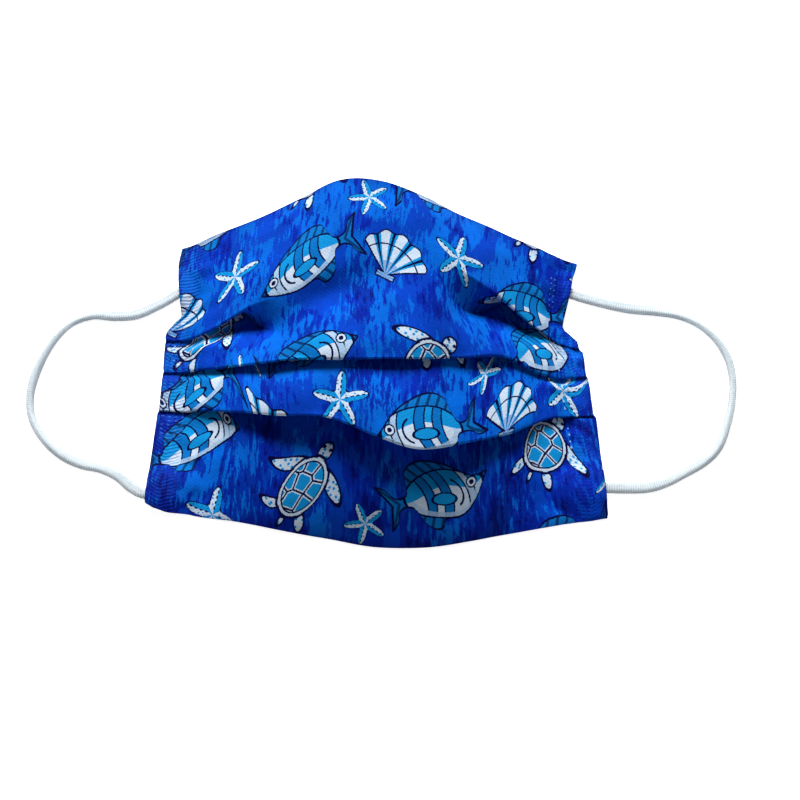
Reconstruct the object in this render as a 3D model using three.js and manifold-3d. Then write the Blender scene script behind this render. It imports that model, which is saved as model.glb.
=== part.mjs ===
// A child's disposable face mask lying on a table, outer side up: one sheet of nonwoven cloth with
// three knife pleats that have part opened into a dome, its side seams welded, and a loop of knitted
// elastic at each side, welded to the inner face at the corners.
// Millimetres, +X across the mask, +Y towards the nose edge, +Z up from the table.
import * as THREE from "three";
import { mergeVertices } from "three/addons/utils/BufferGeometryUtils.js";
import Module from "manifold-3d";

// Driving sizes
const WALL = 1.0; // the cloth's three layers, with the air between them
const LIES_BELOW = 0.65; // cloth that comes nearer to the table than this lies flat on it
const LAYER_GAP = 0.3; // between folded layers, and between pieces that touch
const LAYER_STEP = WALL + LAYER_GAP;
const FOLD_SWELL = 0.38; // how far a shut fold rounds out past its line
const FOLD_CLEAR = LAYER_STEP + FOLD_SWELL; // from a fold's line to the middle of a layer that passes it
const CORD = 2.6; // elastic, round
const CORD_REST = CORD / 2 + 0.05; // height of a lying cord's centre
const PAD = { length: 8, width: 4.6, thick: 1.2, clear: 0.5 }; // a loop's flattened, welded end
const PAD_RIM = 16; // points round it
const PAD_PROFILE = [
  { share: 0.35, depth: 0 },
  { share: 0.8, depth: 0.04 },
  { share: 1, depth: 0.5 },
  { share: 0.8, depth: 0.96 },
  { share: 0.35, depth: 1 },
]; // from its top to its underside: share of its outline, and of its thickness
const SEAM_FROM = 0.87; // the welded side bands run from here to the cloth's ends, as shares of half its width
const SEAM_TO = 0.995;
const SEAM_INSET = 0.6; // of a weld's filling from the folds' lines
const FLAT = { starts: 0.58, full: 0.74 }; // where the layers lie flat on each other, as such shares
const CROWN = { ends: 0.95, full: 0.35 }; // where the panels stand out as a dome

// One row a line across the cloth, from the nose edge to the chin edge. left and right are where it
// ends, ahead its place along Y and up its height, at eleven even steps from the left end to the right.
const LINES = {
  nose: {
    left: -67.0,
    right: 63.3,
    ahead: [45.2, 47.9, 50.4, 53.4, 56.3, 56.3, 54.3, 51.5, 48.7, 46.2, 43.7],
    up: [0.5, 7.0, 13.3, 21.0, 28.6, 29.2, 24.5, 17.7, 11.3, 5.8, 0.5],
  },
  fold1: {
    left: -70.0,
    right: 63.3,
    ahead: [11.5, 12.0, 16.5, 19.5, 24.4, 30.5, 34.5, 29.2, 23.6, 16.6, 12.7],
    up: [2.5, 6.7, 15.1, 21.9, 26.9, 28.9, 27.8, 23.2, 15.6, 6.9, 2.5],
  },
  fold2: {
    left: -69.6,
    right: 65.5,
    ahead: [0.4, -0.7, -2.7, -3.9, -4.8, -4.9, -3.9, -0.9, 3.0, 0.8, 3.1],
    up: [2.5, 6.7, 14.8, 22.1, 26.5, 27.4, 26.4, 21.5, 14.6, 6.5, 2.5],
  },
  fold3: {
    left: -69.8,
    right: 67.6,
    ahead: [-13.0, -14.5, -17.7, -20.8, -23.0, -28.5, -32.2, -28.2, -22.2, -13.6, -10.2],
    up: [2.5, 5.9, 12.8, 19.0, 22.8, 24.0, 22.8, 19.0, 12.9, 6.0, 2.5],
  },
  chin: {
    left: -71.7,
    right: 71.8,
    ahead: [-44.2, -47.9, -49.6, -51.9, -54.3, -56.2, -55.8, -53.5, -50.4, -47.2, -44.2],
    up: [0.5, 0.5, 0.5, 0.5, 0.5, 0.5, 0.5, 0.5, 0.5, 0.5, 0.5],
  },
};

// One row a pleat. depth is how far the cloth turns back under the fold, at the seams and in the
// middle; shut and open are the angle between its legs there, in degrees. It starts to open at the
// first share of the half width on each side and is fully open at the second.
const PLEATS = [
  { line: "fold1", depth: [11.5, 11.5], shut: 6.4, open: 168, left: [0.83, 0.3], right: [0.87, 0.25] },
  { line: "fold2", depth: [5.8, 6.5], shut: 13, open: 38, left: [0.85, 0.3], right: [0.8, 0.3] },
  { line: "fold3", depth: [9.4, 11.0], shut: 8, open: 44, left: [0.85, 0.25], right: [0.85, 0.25] },
];

// How far the upper panel's side edges are drawn in, by shares of the way from the nose edge to fold 1
const DRAWN_IN = {
  along: [0, 0.2, 0.4, 0.65, 0.75, 0.8, 0.92, 1],
  left: [0, 0, 1.3, 3.3, 4.1, 2.6, 0.2, 0],
  right: [0, 1.8, 2.8, 4.6, 5.2, 4.6, 0.5, 0],
};

// How far each panel stands out from the straight line between its folds, in the middle of the mask
const BULGE = { upper: 1.6, lapped: 1.8, chin: 4.2 };

// One row a cord's way out from under the cloth: which panel lies over it, where the cloth's edge
// crosses it, and where its welded end lies, by its centre and its heading in degrees
const EXITS = {
  upper_left: { panel: 0, edge: [-67, 28.4], pad: [-58.6, 34.4], heading: 36 },
  lower_left: { panel: 3, edge: [-72, -41.6], pad: [-60.6, -38.4], heading: 14 },
  upper_right: { panel: 0, edge: [62, 32.1], pad: [52.4, 35.4], heading: 162 },
  lower_right: { panel: 3, edge: [70.9, -34.8], pad: [59.6, -35.0], heading: 181 },
};
const LIFT = { height: 3.9, level: 2.6, fade: 9 }; // the cloth's middle over a cord, and how far that reaches

// Each loop's route where it lies on the table, from the upper corner round to the lower one. A third
// number is the height of its centre, where the cloth holds it up.
const LOOPS = {
  left: [
    [-62.15, 31.85, 1.9], [-67.0, 28.4], [-72.8, 24.2], [-79.9, 20.4], [-86.3, 19.6], [-93.6, 19.7],
    [-99.1, 17.4], [-103.8, 12.7], [-107.5, 6.2], [-110.1, -1.7], [-111.0, -9.7], [-109.6, -17.1],
    [-105.4, -23.7], [-99.1, -29.0], [-92.2, -32.3], [-86.2, -33.6], [-80.6, -36.0],
    [-76.0, -39.6], [-71.8, -41.4], [-64.85, -39.47],
  ],
  right: [
    [56.55, 34.05, 1.9], [61.8, 32.2], [67.7, 30.4], [78.1, 28.1], [88.4, 27.0], [96.1, 25.5],
    [102.4, 22.3], [107.4, 17.6], [110.7, 11.6], [112.1, 3.9], [111.5, -4.4], [109.4, -12.8],
    [106.2, -20.2], [101.7, -25.0], [95.8, -29.0], [90.2, -32.2], [84.5, -34.2],
    [78.3, -34.7], [70.8, -34.8], [63.95, -34.93],
  ],
};
const SHORTEST_EDGE = 0.01;
const LOOP_STEPS = 38;
const CORD_SIDES = 8;

// Where the cloth's sections are taken, as shares of half its width
const HALF_STATIONS = [0.08, 0.16, 0.24, 0.32, 0.4, 0.48, 0.56, 0.64, 0.72, 0.8, 0.87, 0.93, 1];
const STATIONS = [...HALF_STATIONS.map((t) => -t).reverse(), 0, ...HALF_STATIONS];
const PANEL_POINTS = { upper: 10, lapped: 5, back: 2, chin: 8 }; // between a panel's folds

const CLOTH_COLOUR = 0x0b49c4;
const ELASTIC_COLOUR = 0xeef1f4;

const lerp = (a, b, f) => a + (b - a) * f;
const clamp01 = (f) => Math.min(Math.max(f, 0), 1);
const smooth = (f) => clamp01(f) ** 2 * (3 - 2 * clamp01(f));
const radians = (degrees) => (degrees * Math.PI) / 180;

// A smooth curve through evenly spaced values, at a share f of the way along them
function through(values, f) {
  const place = clamp01(f) * (values.length - 1);
  const i = Math.min(Math.floor(place), values.length - 2);
  const [a, b, c, d] = [-1, 0, 1, 2].map((k) => values[Math.min(Math.max(i + k, 0), values.length - 1)]);
  const u = place - i;
  return b + 0.5 * u * (c - a + u * (2 * a - 5 * b + 4 * c - d + u * (3 * (b - c) + d - a)));
}

// Straight lines through a table's points
function between(xs, ys, x) {
  const i = Math.max(xs.findIndex((limit) => x <= limit), 1);
  return lerp(ys[i - 1], ys[i], (x - xs[i - 1]) / (xs[i] - xs[i - 1]));
}

// A point of a line across the cloth, at station t from -1 at the left end to 1 at the right
function pointOf(line, t) {
  const f = (t + 1) / 2;
  const { left, right, ahead, up } = LINES[line];
  return { x: lerp(left, right, f), y: through(ahead, f), z: through(up, f) };
}

// How far a pleat has opened at station t, from 0 at its seams to 1 in the middle
function openness(pleat, t) {
  const [starts, ends] = t < 0 ? pleat.left : pleat.right;
  return smooth((starts - Math.abs(t)) / (starts - ends));
}

const step = (from, heading, length) => ({
  ...from,
  y: from.y + length * Math.cos(heading),
  z: from.z + length * Math.sin(heading),
});

// The rounded edge of a fold: from the leg above to the leg below, side is the way it bulges
function edgeOf(centre, heading, turn, side) {
  const before = step(centre, heading, -LAYER_STEP / 2);
  const after = step(centre, heading, LAYER_STEP / 2);
  const swell = FOLD_SWELL * Math.sin(turn / 2) ** 2;
  return [before, step(centre, heading + (side * Math.PI) / 2, swell), after];
}

// The cloth over a cord's end stays at least this high: it falls away with the distance from the line
// between the cloth's edge and the welded pad
function liftAt(x, y) {
  const here = new THREE.Vector3(x, y, 0);
  const distances = Object.values(EXITS).map(({ edge, pad }) => {
    const line = new THREE.Line3(new THREE.Vector3(...edge, 0), new THREE.Vector3(...pad, 0));
    return line.closestPointToPoint(here, true, new THREE.Vector3()).distanceTo(here);
  });
  const near = smooth(1 - (Math.min(...distances) - LIFT.level) / LIFT.fade);
  return WALL / 2 + (LIFT.height - WALL / 2) * near;
}

// The points between two folds. Where layers lie on each other, the panel keeps low up to lap[0] of its
// way and is at its full height from lap[1]; flat is how far that holds, and bulge how far it stands out.
function panelPoints(from, to, count, { lap, flat, bulge, lifts }) {
  const [low, high] = lap;
  const heading = Math.atan2(to.z - from.z, to.y - from.y);
  const turns = [0, low, (low + high) / 2, high, 1];
  return Array.from({ length: count }, (_, i) => {
    const even = (i + 1) / (count + 1);
    const f = lerp(even, between([0, 0.3, 0.5, 0.7, 1], turns, even), low > 0 ? flat : 0);
    const lapped = clamp01((f - low) / (high - low));
    const out = bulge * (1 - flat) * 4 * f * (1 - f);
    const x = lerp(from.x, to.x, f);
    const y = lerp(from.y, to.y, f) + out * Math.sin(heading);
    const z = lerp(from.z, to.z, lerp(f, lapped, flat)) - out * Math.cos(heading);
    return { x, y, z: lifts ? Math.max(z, liftAt(x, y)) : z };
  });
}

// How far the layers lie flat on each other at station t, from 0 where the mask is open to 1 at its sides
const flatAt = (t) => smooth((Math.abs(t) - FLAT.starts) / (FLAT.full - FLAT.starts));

// The middle of the cloth's wall at station t: its panels and folds in order, from nose edge to chin edge
function sectionAt(t) {
  const rows = PLEATS.map((pleat) => {
    const opened = openness(pleat, t);
    return { opened, fold: pointOf(pleat.line, t), depth: lerp(...pleat.depth, opened), pleat };
  });
  const crownward = smooth((CROWN.ends - Math.abs(t)) / (CROWN.ends - CROWN.full));
  const parts = [];
  let from = lifted(pointOf("nose", t));
  let passed = null;
  rows.forEach(({ opened, fold, depth, pleat }, k) => {
    const inward = Math.atan2(fold.z - from.z, fold.y - from.y);
    const heading = lerp(Math.PI, inward < 0 ? inward + 2 * Math.PI : inward, crownward);
    const turn = Math.PI - radians(lerp(pleat.shut, pleat.open, opened));
    const tuck = step(fold, heading + turn, depth);
    const foldEdge = edgeOf(fold, heading + turn / 2, turn, -1);
    const tuckEdge = edgeOf(tuck, heading + turn / 2, turn, 1);
    const run = from.y - fold.y;
    const lap = [passed ? (from.y - passed.y + FOLD_CLEAR) / run : 0, (from.y - tuck.y - FOLD_CLEAR) / run];
    const kind = k ? "lapped" : "upper";
    const shape = { lap, flat: flatAt(t), bulge: BULGE[kind] * crownward, lifts: !k };
    const straight = { lap: [0, 1], flat: 0, bulge: 0 };
    parts.push([from, ...panelPoints(from, foldEdge[0], PANEL_POINTS[kind], shape)]);
    parts.push(foldEdge, panelPoints(foldEdge[2], tuckEdge[0], PANEL_POINTS.back, straight), tuckEdge);
    [from, passed] = [tuckEdge[2], fold];
  });
  const chin = lifted(pointOf("chin", t));
  const lap = [(from.y - passed.y + FOLD_CLEAR) / (from.y - chin.y), 1];
  const shape = { lap, flat: flatAt(t), bulge: BULGE.chin * crownward, lifts: true };
  parts.push([...panelPoints(from, chin, PANEL_POINTS.chin, shape), chin]);
  return drawnIn(parts, t);
}

function lifted(p) {
  return { ...p, z: Math.max(p.z, liftAt(p.x, p.y)) };
}

// The section with the upper panel's side edge drawn in towards the middle
function drawnIn(parts, t) {
  const [upper, ...rest] = parts;
  const inset = t < 0 ? DRAWN_IN.left : DRAWN_IN.right;
  const moved = upper.map((p, i) => {
    const by = between(DRAWN_IN.along, inset, i / upper.length) * Math.abs(t) ** 8;
    return { ...p, x: p.x - Math.sign(t) * by };
  });
  return [moved, ...rest];
}

const vector = ({ x, y, z }) => new THREE.Vector3(x, y, z);

// Each point of a grid moved along the surface's normal, further at a bend so that the wall keeps its
// thickness. What comes near the table lies on it.
function offsetGrid(grid, distance) {
  return grid.map((row, i) =>
    row.map((p, j) => {
      const across = grid[Math.min(i + 1, grid.length - 1)][j].clone().sub(grid[Math.max(i - 1, 0)][j]);
      const before = p.clone().sub(row[Math.max(j - 1, 0)]).normalize();
      const after = row[Math.min(j + 1, row.length - 1)].clone().sub(p).normalize();
      const along = before.clone().add(after);
      const bend = j > 0 && j < row.length - 1 ? Math.sqrt(Math.max((1 + before.dot(after)) / 2, 0.3)) : 1;
      const normal = across.cross(along).normalize().negate();
      const moved = p.clone().addScaledVector(normal, distance / bend);
      moved.z = moved.z < LIES_BELOW ? 0 : moved.z;
      return moved;
    }),
  );
}

// A closed solid from rings of points, each ring a section, with its first and last ring filled by fans
// or by the given caps
function solidFromRings(rings, capOf) {
  const around = rings[0].length;
  const faces = [];
  for (let i = 0; i + 1 < rings.length; i++)
    for (let j = 0; j < around; j++) {
      const [a, b] = [i * around + j, i * around + ((j + 1) % around)];
      faces.push(a, b, b + around, a, b + around, a + around);
    }
  const last = (rings.length - 1) * around;
  capOf(around).forEach(([a, b, c]) => faces.push(c, b, a, last + a, last + b, last + c));
  const geometry = new THREE.BufferGeometry();
  const flat = rings.flat().flatMap((p) => [p.x, p.y, p.z]);
  geometry.setAttribute("position", new THREE.Float32BufferAttribute(flat, 3));
  geometry.setIndex(faces);
  return geometry;
}

// A wall's end: its ring goes down one face and back up the other
const wallCap = (around) =>
  Array.from({ length: around / 2 - 1 }, (_, j) => {
    const k = around - 1 - j;
    return [
      [j, j + 1, k],
      [j + 1, k - 1, k],
    ];
  }).flat();
const fanCap = (around) => Array.from({ length: around - 2 }, (_, j) => [0, j + 1, j + 2]);

function clothWall() {
  const middle = STATIONS.map((t) => sectionAt(t).flat().map(vector));
  const outer = offsetGrid(middle, WALL / 2);
  const inner = offsetGrid(middle, -WALL / 2);
  return solidFromRings(
    outer.map((row, i) => [...row, ...inner[i].toReversed()]),
    wallCap,
  );
}

// The weld that joins a pleat's three layers at one side: it fills the slits between them
function seamWeld(pleatIndex, side) {
  const rings = [SEAM_FROM, (SEAM_FROM + SEAM_TO) / 2, SEAM_TO].map((t) => {
    const parts = sectionAt(side * t);
    const foldEdge = parts[1 + 4 * pleatIndex];
    const tuckEdge = parts[3 + 4 * pleatIndex];
    const [front, back] = [foldEdge[0].y + SEAM_INSET, tuckEdge[0].y - SEAM_INSET];
    const [top, bottom] = [foldEdge[0], tuckEdge[2]];
    return [
      new THREE.Vector3(top.x, back, top.z),
      new THREE.Vector3(top.x, front, top.z),
      new THREE.Vector3(bottom.x, front, bottom.z),
      new THREE.Vector3(bottom.x, back, bottom.z),
    ];
  });
  return solidFromRings(side > 0 ? rings : rings.toReversed(), fanCap);
}

// The cloth's inner face under a point of the table, on its upper panel or its chin panel
function innerFaceOver(panel, x, y) {
  const line = panel ? "chin" : "nose";
  let t = (2 * (x - LINES[line].left)) / (LINES[line].right - LINES[line].left) - 1;
  let height = 0;
  for (let i = 0; i < 6; i++) {
    const parts = sectionAt(t);
    const run = panel ? parts.at(-1) : [...parts[0], parts[1][0]];
    const j = Math.max(run.findIndex((p) => p.y <= y), 1);
    const f = (y - run[j - 1].y) / (run[j].y - run[j - 1].y);
    height = lerp(run[j - 1].z, run[j].z, f);
    t += ((x - lerp(run[j - 1].x, run[j].x, f)) * 2) / (LINES[line].right - LINES[line].left);
  }
  return height - WALL / 2;
}

// A loop's welded end: a flattened lozenge that follows the cloth's inner face just under it
function weldPad({ panel, pad: [cx, cy], heading }) {
  const along = radians(heading);
  const place = (share, angle) => {
    const u = (share * PAD.length * Math.cos(angle)) / 2;
    const v = (share * PAD.width * Math.sin(angle)) / 2;
    return [cx + u * Math.cos(along) - v * Math.sin(along), cy + u * Math.sin(along) + v * Math.cos(along)];
  };
  const rings = PAD_PROFILE.map(({ share, depth }) =>
    Array.from({ length: PAD_RIM }, (_, i) => {
      const [x, y] = place(share, (2 * Math.PI * i) / PAD_RIM);
      return new THREE.Vector3(x, y, innerFaceOver(panel, x, y) - PAD.clear - depth * PAD.thick);
    }),
  );
  return solidFromRings(rings.toReversed(), fanCap);
}

// A loop of elastic: an eight-sided tube along its route on the table
function loopTube(route) {
  const points = route.map(([x, y, z = CORD_REST]) => new THREE.Vector3(x, y, z));
  const curve = new THREE.CatmullRomCurve3(points, false, "centripetal");
  const circle = Array.from({ length: CORD_SIDES }, (_, i) => {
    const angle = (2 * Math.PI * (i + 0.5)) / CORD_SIDES;
    return new THREE.Vector2((CORD / 2) * Math.cos(angle), (CORD / 2) * Math.sin(angle));
  });
  return new THREE.ExtrudeGeometry(new THREE.Shape(circle), { steps: LOOP_STEPS, extrudePath: curve });
}

const wasm = await Module();
wasm.setup();

function toSolid(geometry) {
  const bare = new THREE.BufferGeometry().setAttribute("position", geometry.getAttribute("position"));
  bare.setIndex(geometry.index);
  const merged = mergeVertices(bare, 1e-4);
  const mesh = new wasm.Mesh({
    numProp: 3,
    vertProperties: new Float32Array(merged.attributes.position.array),
    triVerts: new Uint32Array(merged.index.array),
  });
  return new wasm.Manifold(mesh);
}

function toGeometry(solid) {
  const { vertProperties, triVerts } = solid.getMesh();
  const geometry = new THREE.BufferGeometry();
  geometry.setAttribute("position", new THREE.Float32BufferAttribute(vertProperties, 3));
  geometry.setIndex(new THREE.Uint32BufferAttribute(triVerts, 1));
  return geometry;
}

// The folded cloth with its pleats welded at both sides. Where a weld only grazes a slanting layer it
// leaves specks of no size, so the shortest edges are closed up and the largest solid is kept.
function pleatedBody() {
  const welds = [-1, 1].flatMap((side) => PLEATS.map((_, k) => toSolid(seamWeld(k, side))));
  const joined = welds.reduce((body, weld) => body.add(weld), toSolid(clothWall()));
  const pieces = joined.simplify(SHORTEST_EDGE).decompose();
  return toGeometry(pieces.toSorted((a, b) => b.volume() - a.volume())[0]);
}

function meshOf(name, geometry, colour, roughness) {
  const mesh = new THREE.Mesh(
    geometry,
    new THREE.MeshStandardMaterial({ color: colour, roughness, metalness: 0 }),
  );
  mesh.name = name;
  return mesh;
}

const mask = new THREE.Group();
mask.add(meshOf("pleated_body", pleatedBody(), CLOTH_COLOUR, 0.75));
for (const side of ["left", "right"])
  mask.add(meshOf(`ear_loop_${side}`, loopTube(LOOPS[side]), ELASTIC_COLOUR, 0.85));
for (const [corner, exit] of Object.entries(EXITS))
  mask.add(meshOf(`loop_weld_${corner}`, weldPad(exit), ELASTIC_COLOUR, 0.5));

export default mask;
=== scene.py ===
"""A child's disposable face mask lying on a table, outer side up.

The visual model of the mask: one pleated sheet of printed nonwoven cloth whose three pleats have part
opened into a dome, the weld marks pressed into its side seams and corners, two loops of knitted
elastic and the four fused ends that hold them to the inner face. Sizes are in millimetres until a
mesh is made, which turns them into metres. +X goes across the mask, +Y towards the nose edge.
"""

import logging
import math
from dataclasses import dataclass, field
from enum import Enum
from functools import reduce
from typing import Callable, Sequence

import bpy
import numpy as np
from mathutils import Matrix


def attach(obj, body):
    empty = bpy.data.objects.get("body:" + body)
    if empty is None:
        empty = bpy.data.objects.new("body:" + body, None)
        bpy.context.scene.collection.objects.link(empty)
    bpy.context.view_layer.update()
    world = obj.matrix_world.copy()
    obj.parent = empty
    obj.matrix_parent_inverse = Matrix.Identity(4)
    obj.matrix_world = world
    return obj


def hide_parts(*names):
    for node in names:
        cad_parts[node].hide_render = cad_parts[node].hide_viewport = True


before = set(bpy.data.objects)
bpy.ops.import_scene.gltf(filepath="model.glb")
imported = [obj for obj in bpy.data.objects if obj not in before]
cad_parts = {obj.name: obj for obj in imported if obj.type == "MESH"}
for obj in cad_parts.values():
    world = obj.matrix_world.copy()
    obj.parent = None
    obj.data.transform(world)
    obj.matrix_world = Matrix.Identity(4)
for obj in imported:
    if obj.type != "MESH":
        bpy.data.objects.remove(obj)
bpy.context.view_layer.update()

MM = 0.001
BODY = "root"
Array = np.ndarray
Socket = bpy.types.NodeSocket

TINY = 1e-6  # keeps a divisor away from zero
UV_SPAN = 200.0  # millimetres of cloth or cord that a UV map's 0 to 1 covers
SHARP_ANGLE = 55.0  # degrees between faces past which their edge shows
WAVE_SPREAD = (0.6, 1.7)  # the shortest and longest of a set of waves, in mean wavelengths
SPAN_SAMPLES = 40  # points worked out between two points of a spline

log = logging.getLogger("face_mask")


# ======== Small mathematics ========


def smooth(f: Array | float) -> Array:
    """The S-curve 3 f squared less 2 f cubed, with f held between 0 and 1."""
    f = np.clip(f, 0.0, 1.0)
    return f * f * (3.0 - 2.0 * f)


def rise(f: Array | float, starts: Array | float, ends: Array | float) -> Array:
    """The S-curve from 0 where f is at its start to 1 where it is at its end."""
    return smooth((f - starts) / (ends - starts))


def blend(a: Array | float, b: Array | float, f: Array | float) -> Array:
    """The value a share f of the way from a to b."""
    return a + (np.asarray(b) - a) * f


def through(values: Sequence[float], f: Array) -> Array:
    """A smooth curve through evenly spaced values.

    Between two values it is the Catmull-Rom cubic of those two and their neighbours, the end values
    being used twice.

    Args:
        values: The values to pass through.
        f: Shares of the way along them, from 0 to 1.

    Returns:
        The curve's value at each share.
    """
    v = np.asarray(values, float)
    place = np.clip(f, 0.0, 1.0) * (len(v) - 1)
    i = np.minimum(place.astype(int), len(v) - 2)
    a, b, c, d = (v[np.clip(i + k, 0, len(v) - 1)] for k in (-1, 0, 1, 2))
    u = place - i
    return b + 0.5 * u * (c - a + u * (2 * a - 5 * b + 4 * c - d + u * (3 * (b - c) + d - a)))


def unit(v: Array) -> Array:
    """Vectors divided by their lengths."""
    return v / np.maximum(np.linalg.norm(v, axis=-1, keepdims=True), TINY**2)


def way_along(points: Array, axis: int = 0, power: float = 1.0) -> Array:
    """How far each point lies along its line from the line's first one.

    Args:
        points: The lines' points.
        axis: The axis that counts them down a line.
        power: What each step's length is raised to.

    Returns:
        The sum of the steps before each point.
    """
    steps = np.linalg.norm(np.diff(points, axis=axis), axis=-1) ** power
    return np.concatenate([0 * np.take(steps, [0], axis), np.cumsum(steps, axis)], axis)


@dataclass(frozen=True)
class Waves:
    """Irregular waves over a plane, made as a sum of sines in random directions.

    Attributes:
        length: Their mean wavelength.
        seed: Picks their directions, lengths and phases.
        count: How many sines are added.
        squash: Scales x and y first, so that waves run more one way than the other.
    """

    length: float
    seed: int
    count: int = 9
    squash: tuple[float, float] = (1.0, 1.0)

    def at(self, p: Array) -> Array:
        """Their height, of about -1 to 1, at points whose last axis holds x and y.

        Args:
            p: The points.

        Returns:
            One height for each point.
        """
        rng = np.random.default_rng(self.seed)
        turn = rng.uniform(0, 2 * np.pi, self.count)
        number = 2 * np.pi / (self.length * rng.uniform(*WAVE_SPREAD, self.count))
        phase = rng.uniform(0, 2 * np.pi, self.count)
        x, y = p[..., 0:1] * self.squash[0], p[..., 1:2] * self.squash[1]
        total = np.sin((x * np.cos(turn) + y * np.sin(turn)) * number + phase).sum(-1)
        return total / math.sqrt(self.count)


def spline(points: Array, step: float) -> Array:
    """A centripetal Catmull-Rom curve through points, resampled at even steps.

    Each span is the Barry-Goldman pyramid of four points, with knots spaced by the square root of the
    distance between them. The ends are extended by their own first and last spans.

    Args:
        points: The points to pass through.
        step: The spacing wanted along the curve.

    Returns:
        Evenly spaced points of the curve, its two ends included.
    """
    p = np.vstack([2 * points[0] - points[1], points, 2 * points[-1] - points[-2]])
    spans = len(p) - 3
    knots = way_along(p, power=0.5)
    knot = [knots[k : spans + k, None, None] for k in range(4)]
    t = knot[1] + (knot[2] - knot[1]) * np.linspace(0, 1, SPAN_SAMPLES, endpoint=False)[None, :, None]

    def between(i: int, j: int, a: Array, b: Array) -> Array:
        """What lies at t on the straight line through a, at knot i, and b, at knot j."""
        low, high = knot[i], knot[j]
        return (high - t) / (high - low) * a + (t - low) / (high - low) * b

    level = [p[k : spans + k, None, :] for k in range(4)]
    for reach in (1, 2):
        level = [between(k, k + reach, *level[k : k + 2]) for k in range(len(level) - 1)]
    fine = np.vstack([between(1, 2, *level).reshape(-1, p.shape[1]), points[-1]])
    along = way_along(fine)
    at = np.linspace(0, along[-1], max(2, int(round(along[-1] / step)) + 1))
    return np.stack([np.interp(at, along, fine[:, k]) for k in range(fine.shape[1])], axis=1)


# ======== Meshes from arrays ========


@dataclass
class MeshData:
    """Points, faces and what is written on them, gathered before they become one mesh.

    Attributes:
        points: The points, in millimetres.
        faces: Four point numbers a face.
        uv: A place on the flat cloth or cord for each point, in millimetres.
        finish: The number of each face's material.
        masks: Named values from 0 to 1 for each point.
    """

    points: Array
    faces: Array
    uv: Array
    finish: Array
    masks: dict[str, Array] = field(default_factory=dict)

    @staticmethod
    def one_finish(points: Array, faces: Array, uv: Array, **masks: Array) -> "MeshData":
        """The data of a mesh of one material, from grids of points, places and masks."""
        masks = {k: v.ravel() for k, v in masks.items()}
        return MeshData(points.reshape(-1, 3), faces, uv.reshape(-1, 2), np.zeros(len(faces), int), masks)

    @staticmethod
    def joined(parts: Sequence["MeshData"]) -> "MeshData":
        """Several meshes' data as one, with the later parts' point numbers moved up."""
        starts = np.concatenate([[0], np.cumsum([len(p.points) for p in parts])[:-1]])
        return MeshData(
            points=np.vstack([p.points for p in parts]),
            faces=np.vstack([p.faces + s for p, s in zip(parts, starts)]),
            uv=np.vstack([p.uv for p in parts]),
            finish=np.concatenate([p.finish for p in parts]),
            masks={k: np.concatenate([p.masks[k] for p in parts]) for k in parts[0].masks},
        )


def grid_faces(rows: int, columns: int, around: bool = False) -> Array:
    """The faces of a grid of points numbered row by row.

    Args:
        rows: The number of rows.
        columns: The number of points in a row.
        around: Whether each row closes on itself.

    Returns:
        Four point numbers a face, turning the same way all over.
    """
    i = np.arange(rows - 1)[:, None]
    j = np.arange(columns if around else columns - 1)[None, :]
    k = (j + 1) % columns
    here, below = i * columns, (i + 1) * columns
    return np.stack([here + j, here + k, below + k, below + j], -1).reshape(-1, 4)


def closed_faces(rows: int, columns: int) -> Array:
    """The faces of a tube of rings whose two ends are closed by quads, turned outwards.

    A cap's quads each join an edge of its ring to the edge across from it.

    Args:
        rows: The number of rings.
        columns: The number of points in a ring, which is even.

    Returns:
        Four point numbers a face.
    """
    i = np.arange(columns // 2 - 1)
    cap = np.stack([i, i + 1, columns - 2 - i, columns - 1 - i], -1)
    walls = grid_faces(rows, columns, around=True)[:, ::-1]
    return np.vstack([walls, cap, cap[:, ::-1] + (rows - 1) * columns])


def make_piece(
    name: str, data: MeshData, finishes: Sequence[bpy.types.Material]
) -> bpy.types.Object:
    """Turns mesh data into an object at the origin, and says what it rides on.

    Args:
        name: The object's name.
        data: Its points, faces, UV places and masks.
        finishes: Its materials, in the order that data.finish counts them.

    Returns:
        The object, with smooth shading.
    """
    mesh = bpy.data.meshes.new(name)
    mesh.vertices.add(len(data.points))
    mesh.vertices.foreach_set("co", (data.points * MM).astype(np.float32).ravel())
    mesh.loops.add(data.faces.size)
    mesh.loops.foreach_set("vertex_index", data.faces.astype(np.int32).ravel())
    mesh.polygons.add(len(data.faces))
    mesh.polygons.foreach_set("loop_start", np.arange(0, data.faces.size, 4, dtype=np.int32))
    mesh.polygons.foreach_set("material_index", data.finish.astype(np.int32))
    mesh.update(calc_edges=True)
    mesh.validate()
    layer = mesh.uv_layers.new(name="UVMap")
    corner = np.zeros(len(mesh.loops), np.int32)
    mesh.loops.foreach_get("vertex_index", corner)
    layer.data.foreach_set("uv", (data.uv[corner] / UV_SPAN + 0.5).astype(np.float32).ravel())
    for key, values in data.masks.items():
        attribute = mesh.attributes.new(key, "FLOAT", "POINT")
        attribute.data.foreach_set("value", values.astype(np.float32))
    mesh.shade_smooth()
    mesh.set_sharp_from_angle(angle=math.radians(SHARP_ANGLE))
    piece = bpy.data.objects.new(name, mesh)
    bpy.context.scene.collection.objects.link(piece)
    for finish in finishes:
        mesh.materials.append(finish)
    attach(piece, BODY)
    log.info("%s: %d points, %d faces", name, len(mesh.vertices), len(mesh.polygons))
    return piece


# ======== The cloth's form ========


@dataclass(frozen=True)
class FoldLine:
    """A line across the cloth: the nose edge, a pleat's fold or the chin edge.

    left and right are where it ends along X, ahead its place along Y and up its height, at eleven even
    steps from the left end to the right.
    """

    left: float
    right: float
    ahead: tuple[float, ...]
    up: tuple[float, ...]

    def at(self, t: Array) -> Array:
        """The line's points at stations t from -1, its left end, to 1, its right end."""
        f = (t + 1) / 2
        return np.stack([blend(self.left, self.right, f), through(self.ahead, f), through(self.up, f)], -1)


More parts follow.
